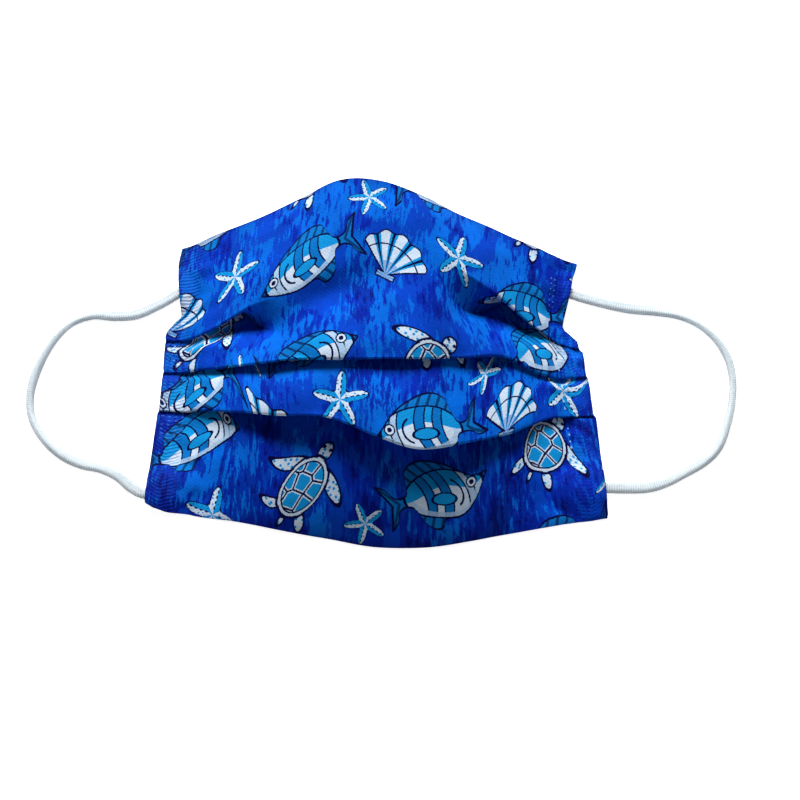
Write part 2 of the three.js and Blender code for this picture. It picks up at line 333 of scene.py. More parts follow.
@dataclass(frozen=True)
class Pleat:
    """A knife pleat: how deep it turns back under its fold and how far it has opened.

    depth is in millimetres at the seams and in the middle, shut and wide the angle between its legs
    there in degrees. It starts to open at the first share of the half width and is open at the second.
    """

    line: FoldLine
    depth: tuple[float, float]
    shut: float
    wide: float
    left: tuple[float, float]
    right: tuple[float, float]

    def opened(self, t: Array) -> Array:
        """How far it has opened at stations t, from 0 at the seams to 1 in the middle.

        Args:
            t: Stations, from -1 at the left edge to 1 at the right one.

        Returns:
            One share for each station.
        """
        starts = np.where(t < 0, self.left[0], self.right[0])
        ends = np.where(t < 0, self.left[1], self.right[1])
        return rise(np.abs(t), starts, ends)


NOSE = FoldLine(
    left=-67.0,
    right=63.3,
    ahead=(45.2, 47.9, 50.4, 53.4, 56.3, 56.3, 54.3, 51.5, 48.7, 46.2, 43.7),
    up=(0.5, 7.0, 13.3, 21.0, 28.6, 29.2, 24.5, 17.7, 11.3, 5.8, 0.5),
)
UPPER_FOLD = FoldLine(
    left=-70.0,
    right=63.3,
    ahead=(11.5, 12.0, 16.5, 19.5, 24.4, 30.5, 34.5, 29.2, 23.6, 16.6, 12.7),
    up=(2.5, 6.7, 15.1, 21.9, 26.9, 28.9, 27.8, 23.2, 15.6, 6.9, 2.5),
)
MIDDLE_FOLD = FoldLine(
    left=-69.6,
    right=65.5,
    ahead=(0.4, -0.7, -2.7, -3.9, -4.8, -4.9, -3.9, -0.9, 3.0, 0.8, 3.1),
    up=(2.5, 6.7, 14.8, 22.1, 26.5, 27.4, 26.4, 21.5, 14.6, 6.5, 2.5),
)
LOWER_FOLD = FoldLine(
    left=-69.8,
    right=67.6,
    ahead=(-13.0, -14.5, -17.7, -20.8, -23.0, -28.5, -32.2, -28.2, -22.2, -13.6, -10.2),
    up=(2.5, 5.9, 12.8, 19.0, 22.8, 24.0, 22.8, 19.0, 12.9, 6.0, 2.5),
)
CHIN = FoldLine(
    left=-71.7,
    right=71.8,
    ahead=(-44.2, -47.9, -49.6, -51.9, -54.3, -56.2, -55.8, -53.5, -50.4, -47.2, -44.2),
    up=(0.5,) * 11,
)


@dataclass(frozen=True)
class Exit:
    """Where an ear loop comes out from under the cloth.

    edge is where the cloth's edge crosses the loop, pad the middle of its fused end and heading the
    end's direction in degrees.
    """

    edge: tuple[float, float]
    pad: tuple[float, float]
    heading: float


@dataclass
class ClothSizes:
    """The sheet's named sizes, in millimetres, and the shares of half its width where things change.

    A pair holds where a change starts and ends, or what holds at the left and at the right.
    """

    # The wall, half the cloth's width, and the way down it to its middle
    wall: float = 0.5
    half_width: float = 72.0
    to_middle: float = 78.0
    # How far folded layers are apart, how far a fold's edge swells, and how far the panels stand out
    layer_step: float = 0.72
    fold_swell: float = 0.22
    bulge: dict[str, float] = field(default_factory=lambda: {"upper": 1.6, "lapped": 1.8, "chin": 4.2})
    lies_flat: tuple[float, float] = (0.58, 0.74)
    stands_out: tuple[float, float] = (0.95, 0.35)
    # The welded bands: where they start, how thin they are, and what is pressed down how far
    pressed: tuple[float, float] = (0.8, 0.9)
    pressed_to: float = 0.42
    pressed_wall: float = 0.26
    pressed_rows: tuple[float, float] = (0.3, 0.6)
    press_cap: float = 2.7
    lowest: float = 0.87
    floor_gap: float = 0.01
    # The lower corners: the left one's radius, and how far each is drawn down
    corner: float = 2.6
    corner_drop: tuple[float, float] = (2.2, 0.6)
    corner_from: tuple[float, float] = (0.8, 0.95)
    corner_reach: float = 15.0
    # Small creases: the fine ones beside the seams, with what is left of them in the bands
    fine_waves: Waves = Waves(4.2, 11, 12, (0.16, 1.0))
    fine_crease: float = 0.22
    fine_from: tuple[float, float] = (0.62, 0.82)
    fine_weakens: tuple[float, float] = (0.86, 0.89)
    fine_kept: float = 0.25
    # The soft unevenness of the middle
    soft_waves: Waves = Waves(22.0, 5, 8)
    soft_crease: float = 0.28
    soft_fades: tuple[float, float] = (0.5, 0.8)
    # The bands' wrinkles
    buckle_waves: Waves = Waves(4.2, 23, 9, (0.22, 1.0))
    buckle: tuple[float, float] = (0.22, 0.75)
    buckle_from: tuple[float, float] = (0.83, 0.89)
    # The hollow at the highest pleat
    hollow_at: tuple[float, float] = (-20.0, 17.8)
    hollow_half: tuple[float, float] = (13.5, 4.6)
    hollow_depth: float = 2.2
    hollow_slant: float = 22.0
    # What the printed finish reads: where the seams are shiny, and how far the cut edge darkens
    seam_from: tuple[float, float] = (0.86, 0.88)
    seam_shine: tuple[float, float] = (1.0, 0.5)
    edge_reach: float = 1.2
    # How the side edges of hidden layers are tucked in
    side_power: int = 8
    tucked: float = 0.25
    # How far the opened fold is smoothed and where, how far normals are, and the wall's share of a bend
    soften: float = 3.6
    melts_left: tuple[float, float] = (0.3, 0.85)
    melts_right: tuple[float, float] = (0.7, 1.0)
    steady: float = 0.8
    bend_share: float = 0.85
    # How the cloth is held up over the loops' ends
    lift_height: float = 3.1
    lift_level: float = 2.2
    lift_fade: float = 9.0
    # The grid's points, and how a lapped panel's are shared out along it
    columns: int = 221
    upper_points: int = 40
    lapped_points: int = 24
    lapped_rows: tuple[float, ...] = (0, 0.3, 0.5, 0.7, 1)
    lapped_end: float = 4 / 7
    back_points: int = 10
    chin_points: int = 36
    arc_points: int = 7


@dataclass
class PleatedCloth:
    """The mask's cloth: one sheet folded into three pleats that have part opened.

    Its middle surface is a function of two parameters: the station t across it, from -1 at the left
    edge to 1 at the right, and the way along the section there, from the nose edge to the chin edge.

    drawn_in_along holds shares of the way down the upper panel, and drawn_in_left and drawn_in_right how
    far its side edges are drawn in there. stations, middle, normal, flat and rows are worked out: the
    stations, the surface's points and normals on its grid, their places on the flat cloth, and the rows of
    that grid that each named stretch takes.
    """

    pleats: tuple[Pleat, ...]
    exits: dict[str, Exit]
    sizes: ClothSizes = field(default_factory=ClothSizes)
    drawn_in_along: tuple[float, ...] = (0, 0.2, 0.4, 0.65, 0.75, 0.8, 0.92, 1)
    drawn_in_left: tuple[float, ...] = (0, 0, 1.3, 3.3, 4.1, 2.6, 0.2, 0)
    drawn_in_right: tuple[float, ...] = (0, 1.8, 2.8, 4.6, 5.2, 4.6, 0.5, 0)
    stations: Array = field(init=False)
    middle: Array = field(init=False)
    normal: Array = field(init=False)
    flat: Array = field(init=False)
    rows: dict[str, slice] = field(init=False)

    def __post_init__(self) -> None:
        """Works out the middle surface, its normals and its flat places once."""
        s = self.sizes
        self.stations = np.linspace(-1, 1, s.columns)
        self.middle, self.rows = self.section(self.stations)
        self.middle = self.settled(self.rounded(self.trimmed(self.relaxed(self.middle))))
        self.flat = self.flattened()
        self.normal = self.normals(self.middle)
        steady = self.near_mean(self.middle, self.normal, s.steady)
        self.middle = self.middle + steady * self.creases()[..., None]
        self.middle[..., 2] += self.buckled() - self.hollowed()
        self.normal = self.normals(self.middle)

    # -------- The section --------

    @staticmethod
    def stepped(start: Array, heading: Array, length: Array | float) -> Array:
        """Points a length away from start, heading up from the Y axis by an angle."""
        y, z = length * np.cos(heading), length * np.sin(heading)
        return start + np.stack([np.zeros_like(y), y, z], -1)

    def fold_edge(self, centre: Array, heading: Array, turn: Array, side: int) -> Array:
        """The rounded edge of a fold, as half an ellipse.

        Its long axis joins the legs, a layer's step apart, and its short one is the swell times the
        squared sine of half the fold's turn.

        Args:
            centre: The fold's middle at each station.
            heading: The angle from the leg above to the leg below.
            turn: How far the cloth turns there.
            side: 1 or -1, the way the fold rounds out.

        Returns:
            For each station, the points from one leg to the other.
        """
        s = self.sizes
        a = np.linspace(-np.pi / 2, np.pi / 2, s.arc_points)[None, :]
        swell = s.fold_swell * np.sin(turn / 2) ** 2
        centre, heading = centre[:, None], heading[:, None]
        across = self.stepped(centre, heading + 0 * a, s.layer_step / 2 * np.sin(a))
        return self.stepped(across, heading + side * np.pi / 2 + 0 * a, swell[:, None] * np.cos(a))

    def lift(self, xy: Array) -> Array:
        """How high the cloth's middle is held over the loops' ends.

        It is full within a level distance of the line from the cloth's edge to the fused end, and
        falls away with an S-curve beyond it.

        Args:
            xy: Places over the table.

        Returns:
            One height for each place.
        """
        s = self.sizes
        nearest = np.full(xy.shape[:-1], np.inf)
        for way in self.exits.values():
            a, b = np.array(way.edge), np.array(way.pad)
            f = np.clip(((xy - a) @ (b - a)) / ((b - a) @ (b - a)), 0, 1)
            nearest = np.minimum(nearest, np.linalg.norm(xy - a - f[..., None] * (b - a), axis=-1))
        near = smooth(1 - (nearest - s.lift_level) / s.lift_fade)
        return s.wall / 2 + (s.lift_height - s.wall / 2) * near

    def panel(
        self,
        start: Array,
        end: Array,
        count: int,
        lap: tuple[Array, Array],
        bulge: Array,
        lay_flat: Array,
        lifts: bool,
    ) -> Array:
        """The cloth between two folds.

        It is the straight line between them, pushed out by a parabola of the given bulge. Where layers
        lie on each other it keeps low up to the first lap share of its way and has its full height from
        the second.

        Args:
            start: Its first point at each station.
            end: Its last point at each station.
            count: How many points to put between them.
            lap: The two shares of its way.
            bulge: How far it stands out in the middle.
            lay_flat: How far the layers lie on each other, from 0 to 1.
            lifts: Whether the loops' ends lie under it.

        Returns:
            The points between the two ends, for each station.
        """
        s = self.sizes
        even = (np.arange(count) + 1)[None, :] / (count + 1)
        low, high = (x[:, None] for x in lap)
        last = np.where(high < 1, high, blend(low, 1, s.lapped_end))
        knots = np.concatenate([0 * low, low, (low + last) / 2, last, 0 * low + 1], 1)
        place = np.stack([np.interp(even[0], s.lapped_rows, k) for k in knots])
        lay_flat = lay_flat[:, None]
        f = blend(even, place, np.where(low > 0, lay_flat, 0))
        lapped = np.clip((f - low) / (high - low), 0, 1)
        heading = np.arctan2(end[:, 2] - start[:, 2], end[:, 1] - start[:, 1])[:, None]
        out = bulge[:, None] * (1 - lay_flat) * 4 * f * (1 - f)
        x = blend(start[:, None, 0], end[:, None, 0], f)
        y = blend(start[:, None, 1], end[:, None, 1], f) + out * np.sin(heading)
        z = blend(start[:, None, 2], end[:, None, 2], blend(f, lapped, lay_flat)) - out * np.cos(heading)
        points = np.stack([x, y, z], -1)
        return self.lifted(points) if lifts else points

    def lifted(self, points: Array) -> Array:
        """Points of the cloth, raised where a loop lies under them."""
        z = np.maximum(points[..., 2], self.lift(points[..., :2]))
        return np.concatenate([points[..., :2], z[..., None]], -1)

    def section(self, t: Array) -> tuple[Array, dict[str, slice]]:
        """The middle of the cloth from the nose edge to the chin edge.

        Each panel runs down to a fold, the cloth turns back under it for the pleat's depth, and the
        next panel starts there.

        Args:
            t: The stations.

        Returns:
            The points, stations first, and the rows that each named stretch takes.
        """
        s = self.sizes
        crown = rise(np.abs(t), *s.stands_out)
        flat = rise(np.abs(t), *s.lies_flat)
        clear = s.layer_step + s.fold_swell
        none = np.zeros_like(t)
        start, passed = self.lifted(NOSE.at(t)), None
        stretches: list[tuple[str, Array]] = [("nose_edge", start[:, None])]
        for k, pleat in enumerate(self.pleats):
            opened = pleat.opened(t)
            fold, depth = pleat.line.at(t), blend(pleat.depth[0], pleat.depth[1], opened)
            inward = np.arctan2(fold[:, 2] - start[:, 2], fold[:, 1] - start[:, 1])
            heading = blend(np.pi, np.where(inward < 0, inward + 2 * np.pi, inward), crown)
            turn = np.pi - np.radians(blend(pleat.shut, pleat.wide, opened))
            tuck = self.stepped(fold, heading + turn, depth)
            fold_edge = self.fold_edge(fold, heading + turn / 2, turn, -1)
            tuck_edge = self.fold_edge(tuck, heading + turn / 2, turn, 1)
            run = start[:, 1] - fold[:, 1]
            low = none if passed is None else (start[:, 1] - passed[:, 1] + clear) / run
            lap = (low, (start[:, 1] - tuck[:, 1] - clear) / run)
            kind, count = ("lapped", s.lapped_points) if k else ("upper", s.upper_points)
            panel = self.panel(start, fold_edge[:, 0], count, lap, s.bulge[kind] * crown, flat, not k)
            panel = panel if k else self.drawn_in(panel, t)
            ends = (fold_edge[:, -1], tuck_edge[:, 0])
            back = self.panel(*ends, s.back_points, (none, none + 1), none, none, False)
            parts = {"panel": panel, "fold": fold_edge, "back": back, "tuck": tuck_edge}
            stretches += [(f"{name}_{k}", part) for name, part in parts.items()]
            start, passed = tuck_edge[:, -1], fold
        chin = self.lifted(CHIN.at(t))
        lap = ((start[:, 1] - passed[:, 1] + clear) / (start[:, 1] - chin[:, 1]), none + 1)
        last = self.panel(start, chin, s.chin_points, lap, s.bulge["chin"] * crown, flat, True)
        stretches += [("chin_panel", last), ("chin_edge", chin[:, None])]
        rows, at = {}, 0
        for name, part in stretches:
            rows[name] = slice(at, at + part.shape[1])
            at += part.shape[1]
        return np.concatenate([part for _, part in stretches], 1), rows

    def drawn_in(self, panel: Array, t: Array) -> Array:
        """The upper panel with its side edges drawn in towards the middle, least near the middle.

        Args:
            panel: The panel's points.
            t: Their stations.

        Returns:
            The points after the move.
        """
        share = np.arange(1, panel.shape[1] + 1) / (panel.shape[1] + 1)
        sides = (self.drawn_in_left, self.drawn_in_right)
        by = np.where(t[:, None] < 0, *(np.interp(share, self.drawn_in_along, v) for v in sides))
        by = by * np.abs(t[:, None]) ** self.sizes.side_power
        panel = panel.copy()
        panel[..., 0] -= np.sign(t[:, None]) * by
        return panel

    def near_mean(self, points: Array, values: Array, reach: float) -> Array:
        """The mean of values near each point, weighted by a Gaussian of the distance down the section.

        Args:
            points: The sections' points.
            values: What is averaged, such as the points or their normals.
            reach: The Gaussian's spread.

        Returns:
            The means, of the values' shape.
        """
        along = way_along(points, 1)
        weight = np.exp(-0.5 * ((along[:, :, None] - along[:, None, :]) / reach) ** 2)
        weight = weight * np.gradient(along, axis=1)[:, None, :]
        return np.einsum("njk,nkc->njc", weight / weight.sum(-1, keepdims=True), values)

    def relaxed(self, points: Array) -> Array:
        """The section with the upper fold and tuck smoothed away where that pleat has opened right out.

        There each point is the mean of its section near it, apart from the ends of the stretch.

        Args:
            points: The grid of the cloth's points, station by row.

        Returns:
            The grid, smoothed there.
        """
        s = self.sizes
        rows = slice(0, self.rows["panel_1"].stop)
        part = points[:, rows]
        along = way_along(part, 1)
        mean = self.near_mean(part, part, s.soften)
        opened = self.pleats[0].opened(self.stations)
        starts, ends = (np.where(self.stations < 0, *pair) for pair in zip(s.melts_left, s.melts_right))
        share = rise(opened, starts, ends)[:, None]
        share = share * smooth(along / (3 * s.soften)) * smooth((along[:, -1:] - along) / (3 * s.soften))
        out = points.copy()
        out[:, rows] = blend(part, mean, share[..., None])
        return out

    def trimmed(self, points: Array) -> Array:
        """The section with its hidden layers' side edges held within the visible ones.

        The outline on each side runs down the visible stretches only. Where a hidden row ends outside
        it, the row is moved in by what it lacks times a high power of the station.

        Args:
            points: The grid of the cloth's points, station by row.

        Returns:
            The grid with those rows moved in.
        """
        shown = np.zeros(points.shape[1], bool)
        for k in range(len(self.pleats) + 1):
            rows = self.rows[f"panel_{k}" if k < len(self.pleats) else "chin_panel"]
            at = np.arange(rows.start, rows.stop)
            fold = points[0, self.rows[f"fold_{k - 1}"], 1].min() if k else np.inf
            shown[at[points[0, at, 1] < fold]] = True
        out = points.copy()
        for side, edge in ((-1, 0), (1, -1)):
            x, y = points[edge, :, 0], points[edge, :, 1]
            order = np.argsort(y[shown])
            outline = np.interp(y, y[shown][order], x[shown][order])
            over = np.where(shown, 0.0, np.maximum(side * (x - outline) + self.sizes.tucked, 0.0))
            near = np.where(side * self.stations > 0, np.abs(self.stations) ** self.sizes.side_power, 0.0)
            out[..., 0] -= side * near[:, None] * over
        return out

    def settled(self, points: Array) -> Array:
        """The section pressed down on the table beside the seams, where the pleats are welded flat.

        Args:
            points: The grid of the cloth's points, station by row.

        Returns:
            The grid, pressed down there.
        """
        s = self.sizes
        press = self.press()
        z = points[..., 2]
        floor = s.pressed_wall / 2 + 2 * s.floor_gap
        drop = (1 - s.pressed_to) * np.minimum(z - s.lowest, s.press_cap) + s.lowest - floor
        stacked = np.ones(points.shape[1])
        count = self.rows["panel_0"].stop
        stacked[:count] = rise(np.arange(count) / count, *s.pressed_rows)
        z = z - press * stacked * drop
        out = points.copy()
        out[..., 2] = np.maximum(z, self.half_wall() + s.floor_gap)
        upper, chin = self.rows["panel_0"], self.rows["chin_panel"]
        for part in (slice(0, upper.stop), slice(chin.start, points.shape[1])):
            held = self.lift(out[:, part, :2]) - press * (s.wall - s.pressed_wall) / 2
            out[:, part, 2] = np.maximum(out[:, part, 2], held)
        return out

    def press(self) -> Array:
        """How far each station's layers are welded together, from 0 to 1."""
        return rise(np.abs(self.stations), *self.sizes.pressed)[:, None]

    def half_wall(self) -> Array:
        """Half the cloth's thickness at each station: the weld squeezes it."""
        s = self.sizes
        return blend(s.wall, s.pressed_wall, self.press()) / 2

    def rounded(self, points: Array) -> Array:
        """The section with its lower corners drawn down and the left one rounded off.

        A corner comes down by its drop times an S-curve of the station and one of the distance to the
        chin edge. At the left the side edge is moved in by the corner's radius less the root of (its
        square less the square of what the distance to the chin edge lacks of it).

        Args:
            points: The grid of the cloth's points, station by row.

        Returns:
            The grid with its corners shaped.
        """
        s, radius = self.sizes, self.sizes.corner
        rows = slice(self.rows["chin_panel"].start, points.shape[1])
        up = np.linalg.norm(points[0, rows] - points[0, -1], axis=-1)
        lack = np.clip(radius - up, 0, radius)
        by = radius - np.sqrt(radius**2 - lack**2)
        out = points.copy()
        out[:, rows, 0] += np.where(self.stations < 0, self.stations**s.side_power, 0.0)[:, None] * by
        drop = np.where(self.stations < 0, *s.corner_drop) * rise(np.abs(self.stations), *s.corner_from)
        out[:, rows, 1] -= drop[:, None] * smooth(1 - up / s.corner_reach)
        return out

    # -------- The surface --------

    @staticmethod
    def normals(points: Array) -> Array:
        """The upward unit normals of a grid: the cross product of its steps down a section and across.

        Args:
            points: The grid.

        Returns:
            One unit normal for each point.
        """
        along = np.gradient(points, axis=1)
        across = np.gradient(points, axis=0)
        return unit(np.cross(along, across))

    def flattened(self) -> Array:
        """Each point's place on the cloth laid out flat.

        The first number is the distance along its row from the middle section and the second its
        distance down the section from the nose edge.

        Returns:
            The two numbers of each point of the grid.
        """
        across = way_along(self.middle, 0)
        across = across - across[len(across) // 2]
        down = way_along(self.middle, 1)
        return np.stack([across, -down], -1)

    def creases(self) -> Array:
        """How far small creases push the cloth along its normal.

        Fine ripples run across the cloth beside its seams, weaker in the welded bands, and a soft
        unevenness lies over the middle. Each fades into the other.

        Returns:
            One height for each point of the grid.
        """
        s, t = self.sizes, np.abs(self.stations)[:, None]
        beside = rise(t, *s.fine_from) * blend(1, s.fine_kept, rise(t, *s.fine_weakens))
        fine = s.fine_waves.at(self.flat) * beside
        soft = s.soft_waves.at(self.flat) * (1 - rise(t, *s.soft_fades))
        return s.fine_crease * fine + s.soft_crease * soft

    def buckled(self) -> Array:
        """How far the welded bands stand up off the table in small wrinkles.

        It depends on the place over the table only, so that welded layers move together: half of one
        plus irregular waves that run mostly along the cloth's sides, higher in the right band.

        Returns:
            One height for each point of the grid.
        """
        s, t = self.sizes, self.stations[:, None]
        height = np.where(t < 0, *s.buckle) * rise(np.abs(t), *s.buckle_from)
        return height * (0.5 + 0.5 * np.clip(s.buckle_waves.at(self.middle[..., :2]), -1, 1))

    def hollowed(self) -> Array:
        """How deep the long hollow is that runs up from the left end of the highest pleat.

        It is a bell curve along its slanted line times a narrower one across it. It depends on the
        place over the table only, so that layers lying there move together.

        Returns:
            One depth for each point of the grid.
        """
        s = self.sizes
        turn = math.radians(s.hollow_slant)
        x, y = (self.middle[..., k] - s.hollow_at[k] for k in (0, 1))
        along = (x * math.cos(turn) + y * math.sin(turn)) / s.hollow_half[0]
        beside = (y * math.cos(turn) - x * math.sin(turn)) / s.hollow_half[1]
        return s.hollow_depth * np.exp(-(along**2) - beside**2)

    def faces_at(self, side: float) -> Array:
        """The cloth's outer face (side 1) or inner face (side -1), half a wall from its middle.

        Inside a bend it stands off no more than a share of the bend's radius, which is the step down
        the section over how far the normal turns back along it. That keeps the face from crossing itself
        at all but the tightest folds.

        Args:
            side: Which of the two faces.

        Returns:
            The face's grid of points.
        """
        gap = np.diff(self.middle, axis=1)
        turned = (np.diff(self.normal, axis=1) * gap).sum(-1) / np.maximum((gap**2).sum(-1), TINY)
        room = self.sizes.bend_share / np.maximum(-side * turned, math.sqrt(TINY))
        room = np.pad(room, ((0, 0), (1, 1)), mode="edge")
        half = np.minimum(self.half_wall(), np.minimum(room[:, :-1], room[:, 1:]))
        face = self.middle + self.normal * (side * half)[..., None]
        face[..., 2] = np.maximum(face[..., 2], self.sizes.floor_gap)
        return face

    def build(self, outer: bpy.types.Material, inner: bpy.types.Material) -> bpy.types.Object:
        """Makes the sheet as a closed wall.

        Args:
            outer: The printed cloth's material, on the outer face and the cut edges.
            inner: The plain inner cloth's material.

        Returns:
            The piece, which stands for the plain CAD body.
        """
        s = self.sizes
        n, m = self.middle.shape[:2]
        numbers = np.arange(n * m).reshape(n, m)
        face = grid_faces(n, m)
        rims = [
            np.stack([a[:-1], a[1:], a[1:] + n * m, a[:-1] + n * m], -1)
            for a in (numbers[:, 0], numbers[::-1, -1], numbers[0, ::-1], numbers[-1])
        ]
        edge = np.abs(self.stations)[:, None] + 0 * self.flat[..., 0]
        down = -self.flat[..., 1]
        to_rims = (np.minimum(down, down[:, -1:] - down), (1 - edge) * s.half_width)
        masks = {
            "seam": rise(edge, *s.seam_from) * np.where(self.stations < 0, *s.seam_shine)[:, None],
            "edge": np.clip(sum(np.exp(-way / s.edge_reach) for way in to_rims), 0, 1),
        }
        data = MeshData(
            points=np.vstack([self.faces_at(side).reshape(-1, 3) for side in (1, -1)]),
            faces=np.vstack([face, face[:, ::-1] + n * m, *rims]),
            uv=np.tile(self.on_print(self.flat).reshape(-1, 2), (2, 1)),
            finish=np.repeat([0, 1, 0], [len(face), len(face), sum(map(len, rims))]),
            masks={k: np.tile(v.ravel(), 2) for k, v in masks.items()},
        )
        piece = make_piece("pleated_cloth", data, (outer, inner))
        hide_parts("pleated_body")
        return piece

    def on_print(self, flat: Array) -> Array:
        """A place on the flat cloth, moved so that the cloth's middle is at zero."""
        return flat + np.array([0.0, self.sizes.to_middle])

    def patch_frames(self, rows: slice, t: Array, down: Array) -> tuple[Array, Array, Array]:
        """Where small marks lie on the outer face.

        Args:
            rows: The stretch of the section that they lie on.
            t: Their stations.
            down: Their distances down that stretch, in millimetres.

        Returns:
            Their middles, their frames as three unit vectors (across, down, outward) and their flat
            places.
        """
        top = self.faces_at(1)[:, rows]
        i = np.interp(t, self.stations, np.arange(len(self.stations)))
        i0 = np.minimum(i.astype(int), len(self.stations) - 2)
        f = (i - i0)[:, None, None]
        line = blend(top[i0], top[i0 + 1], f)
        flat = blend(self.flat[i0, rows], self.flat[i0 + 1, rows], f)
        side = unit(top[i0 + 1] - top[i0])
        outward = blend(self.normal[i0, rows], self.normal[i0 + 1, rows], f)
        length = way_along(line, 1)
        j = np.clip((length < down[:, None]).sum(1) - 1, 0, line.shape[1] - 2)
        k = np.arange(len(t))
        g = ((down - length[k, j]) / np.maximum(length[k, j + 1] - length[k, j], TINY))[:, None]

        def at_marks(values: Array) -> Array:
            """What values given on the section's points are at the marks."""
            return blend(values[k, j], values[k, j + 1], g)

        out, across = unit(at_marks(outward)), at_marks(side)
        across = unit(across - out * (across * out).sum(-1, keepdims=True))
        return at_marks(line), np.stack([across, np.cross(out, across), out], 1), at_marks(flat)


class MarkShape(Enum):
    """The outlines that the weld's teeth press: an oval, or one that narrows to a wedge."""

    OVAL = "oval"
    WEDGE = "wedge"


@dataclass(frozen=True)
class WeldRow:
    """A column or cluster of weld marks.

    Attributes:
        stretch: The part of the cloth's section that they lie on.
        inset: Their distances in from the side edge, in millimetres.
        start: How far down the stretch they start.
        end: How far down it they end.
        pitch: Their spacing down it.
        size: Their width and length.
        shape: Their outline.
        side: -1 for the left side and 1 for the right.
        glint: How strong the pale painted highlight and the shine are in their middle, from 0 to 1.
    """

    stretch: str
    inset: tuple[float, ...]
    start: float
    end: float
    pitch: float
    size: tuple[float, float]
    shape: MarkShape
    side: int
    glint: float


@dataclass
class WeldMarks:
    """Marks that the welding wheel's teeth have pressed into the cloth, as one mesh of small patches.

    kept is the share of them that shows, strays how far they lie off their row's two ways and grown how
    much longer or shorter they get. wedge holds a wedge's width in its middle and what it loses along it.
    """

    name: str
    cloth: PleatedCloth
    rows: Sequence[WeldRow]
    seed: int
    grid: int = 6
    rim: float = 0.05
    wedge: tuple[float, float] = (0.55, 0.45)
    kept: float = 0.9
    strays: tuple[float, float] = (0.08, 0.06)
    grown: tuple[float, float] = (0.75, 1.2)

    def patches(self, row: WeldRow, rng: np.random.Generator) -> MeshData:
        """The patches of one row.

        Each is a small square grid drawn in to its outline. Its height is a low rim round a dished
        middle: at a share r of the way out, the rim's height times the sum of a quarter and 4 r squared
        times (1 less r squared), less half of r to the sixth.

        Args:
            row: The marks to make.
            rng: Moves each a little and leaves a few out.

        Returns:
            Their points, faces, UV places and masks.
        """
        down = np.arange(row.start, row.end, row.pitch)
        inset, down = (a.ravel() for a in np.meshgrid(row.inset, down))
        kept = rng.random(len(down)) < self.kept
        inset, down = (x[kept] + rng.normal(0, by, kept.sum()) for x, by in zip((inset, down), self.strays))
        t = row.side * (1 - inset / self.cloth.sizes.half_width)
        centre, axes, flat = self.cloth.patch_frames(self.cloth.rows[row.stretch], t, down)
        n = self.grid
        a, b = (g.ravel() for g in np.meshgrid(*[np.linspace(-1, 1, n)] * 2))
        x, y = a * np.sqrt(1 - b * b / 2), b * np.sqrt(1 - a * a / 2)
        r = np.minimum(np.hypot(x, y), 1)
        if row.shape is MarkShape.WEDGE:
            x = x * (self.wedge[0] - self.wedge[1] * y)
        width, length = row.size
        grow = rng.uniform(*self.grown, (len(down), 1))
        height = self.rim * (4 * r * r * (1 - r * r) - 0.5 * r**6 + 0.25)
        local = np.stack([x * width / 2 * grow, y * length / 2 * grow, height + 0 * grow], -1)
        points = centre[:, None] + np.einsum("mpk,mkc->mpc", local, axes)
        uv = self.cloth.on_print(flat)[:, None] + local[..., :2]
        faces = grid_faces(n, n)[None] + (np.arange(len(down)) * n * n)[:, None, None]
        # The share of the pale highlight painted on each mark, highest in its middle.
        dish = np.tile(1 - r, len(down)) * row.glint
        return MeshData.one_finish(points, faces.reshape(-1, 4), uv, dish=dish)

    def build(self, finish: bpy.types.Material) -> bpy.types.Object:
        """Joins all the rows' patches into one piece.

        Args:
            finish: The marks' material.

        Returns:
            The piece.
        """
        rng = np.random.default_rng(self.seed)
        data = MeshData.joined([self.patches(row, rng) for row in self.rows])
        return make_piece(self.name, data, (finish,))


# ======== The ear loops ========


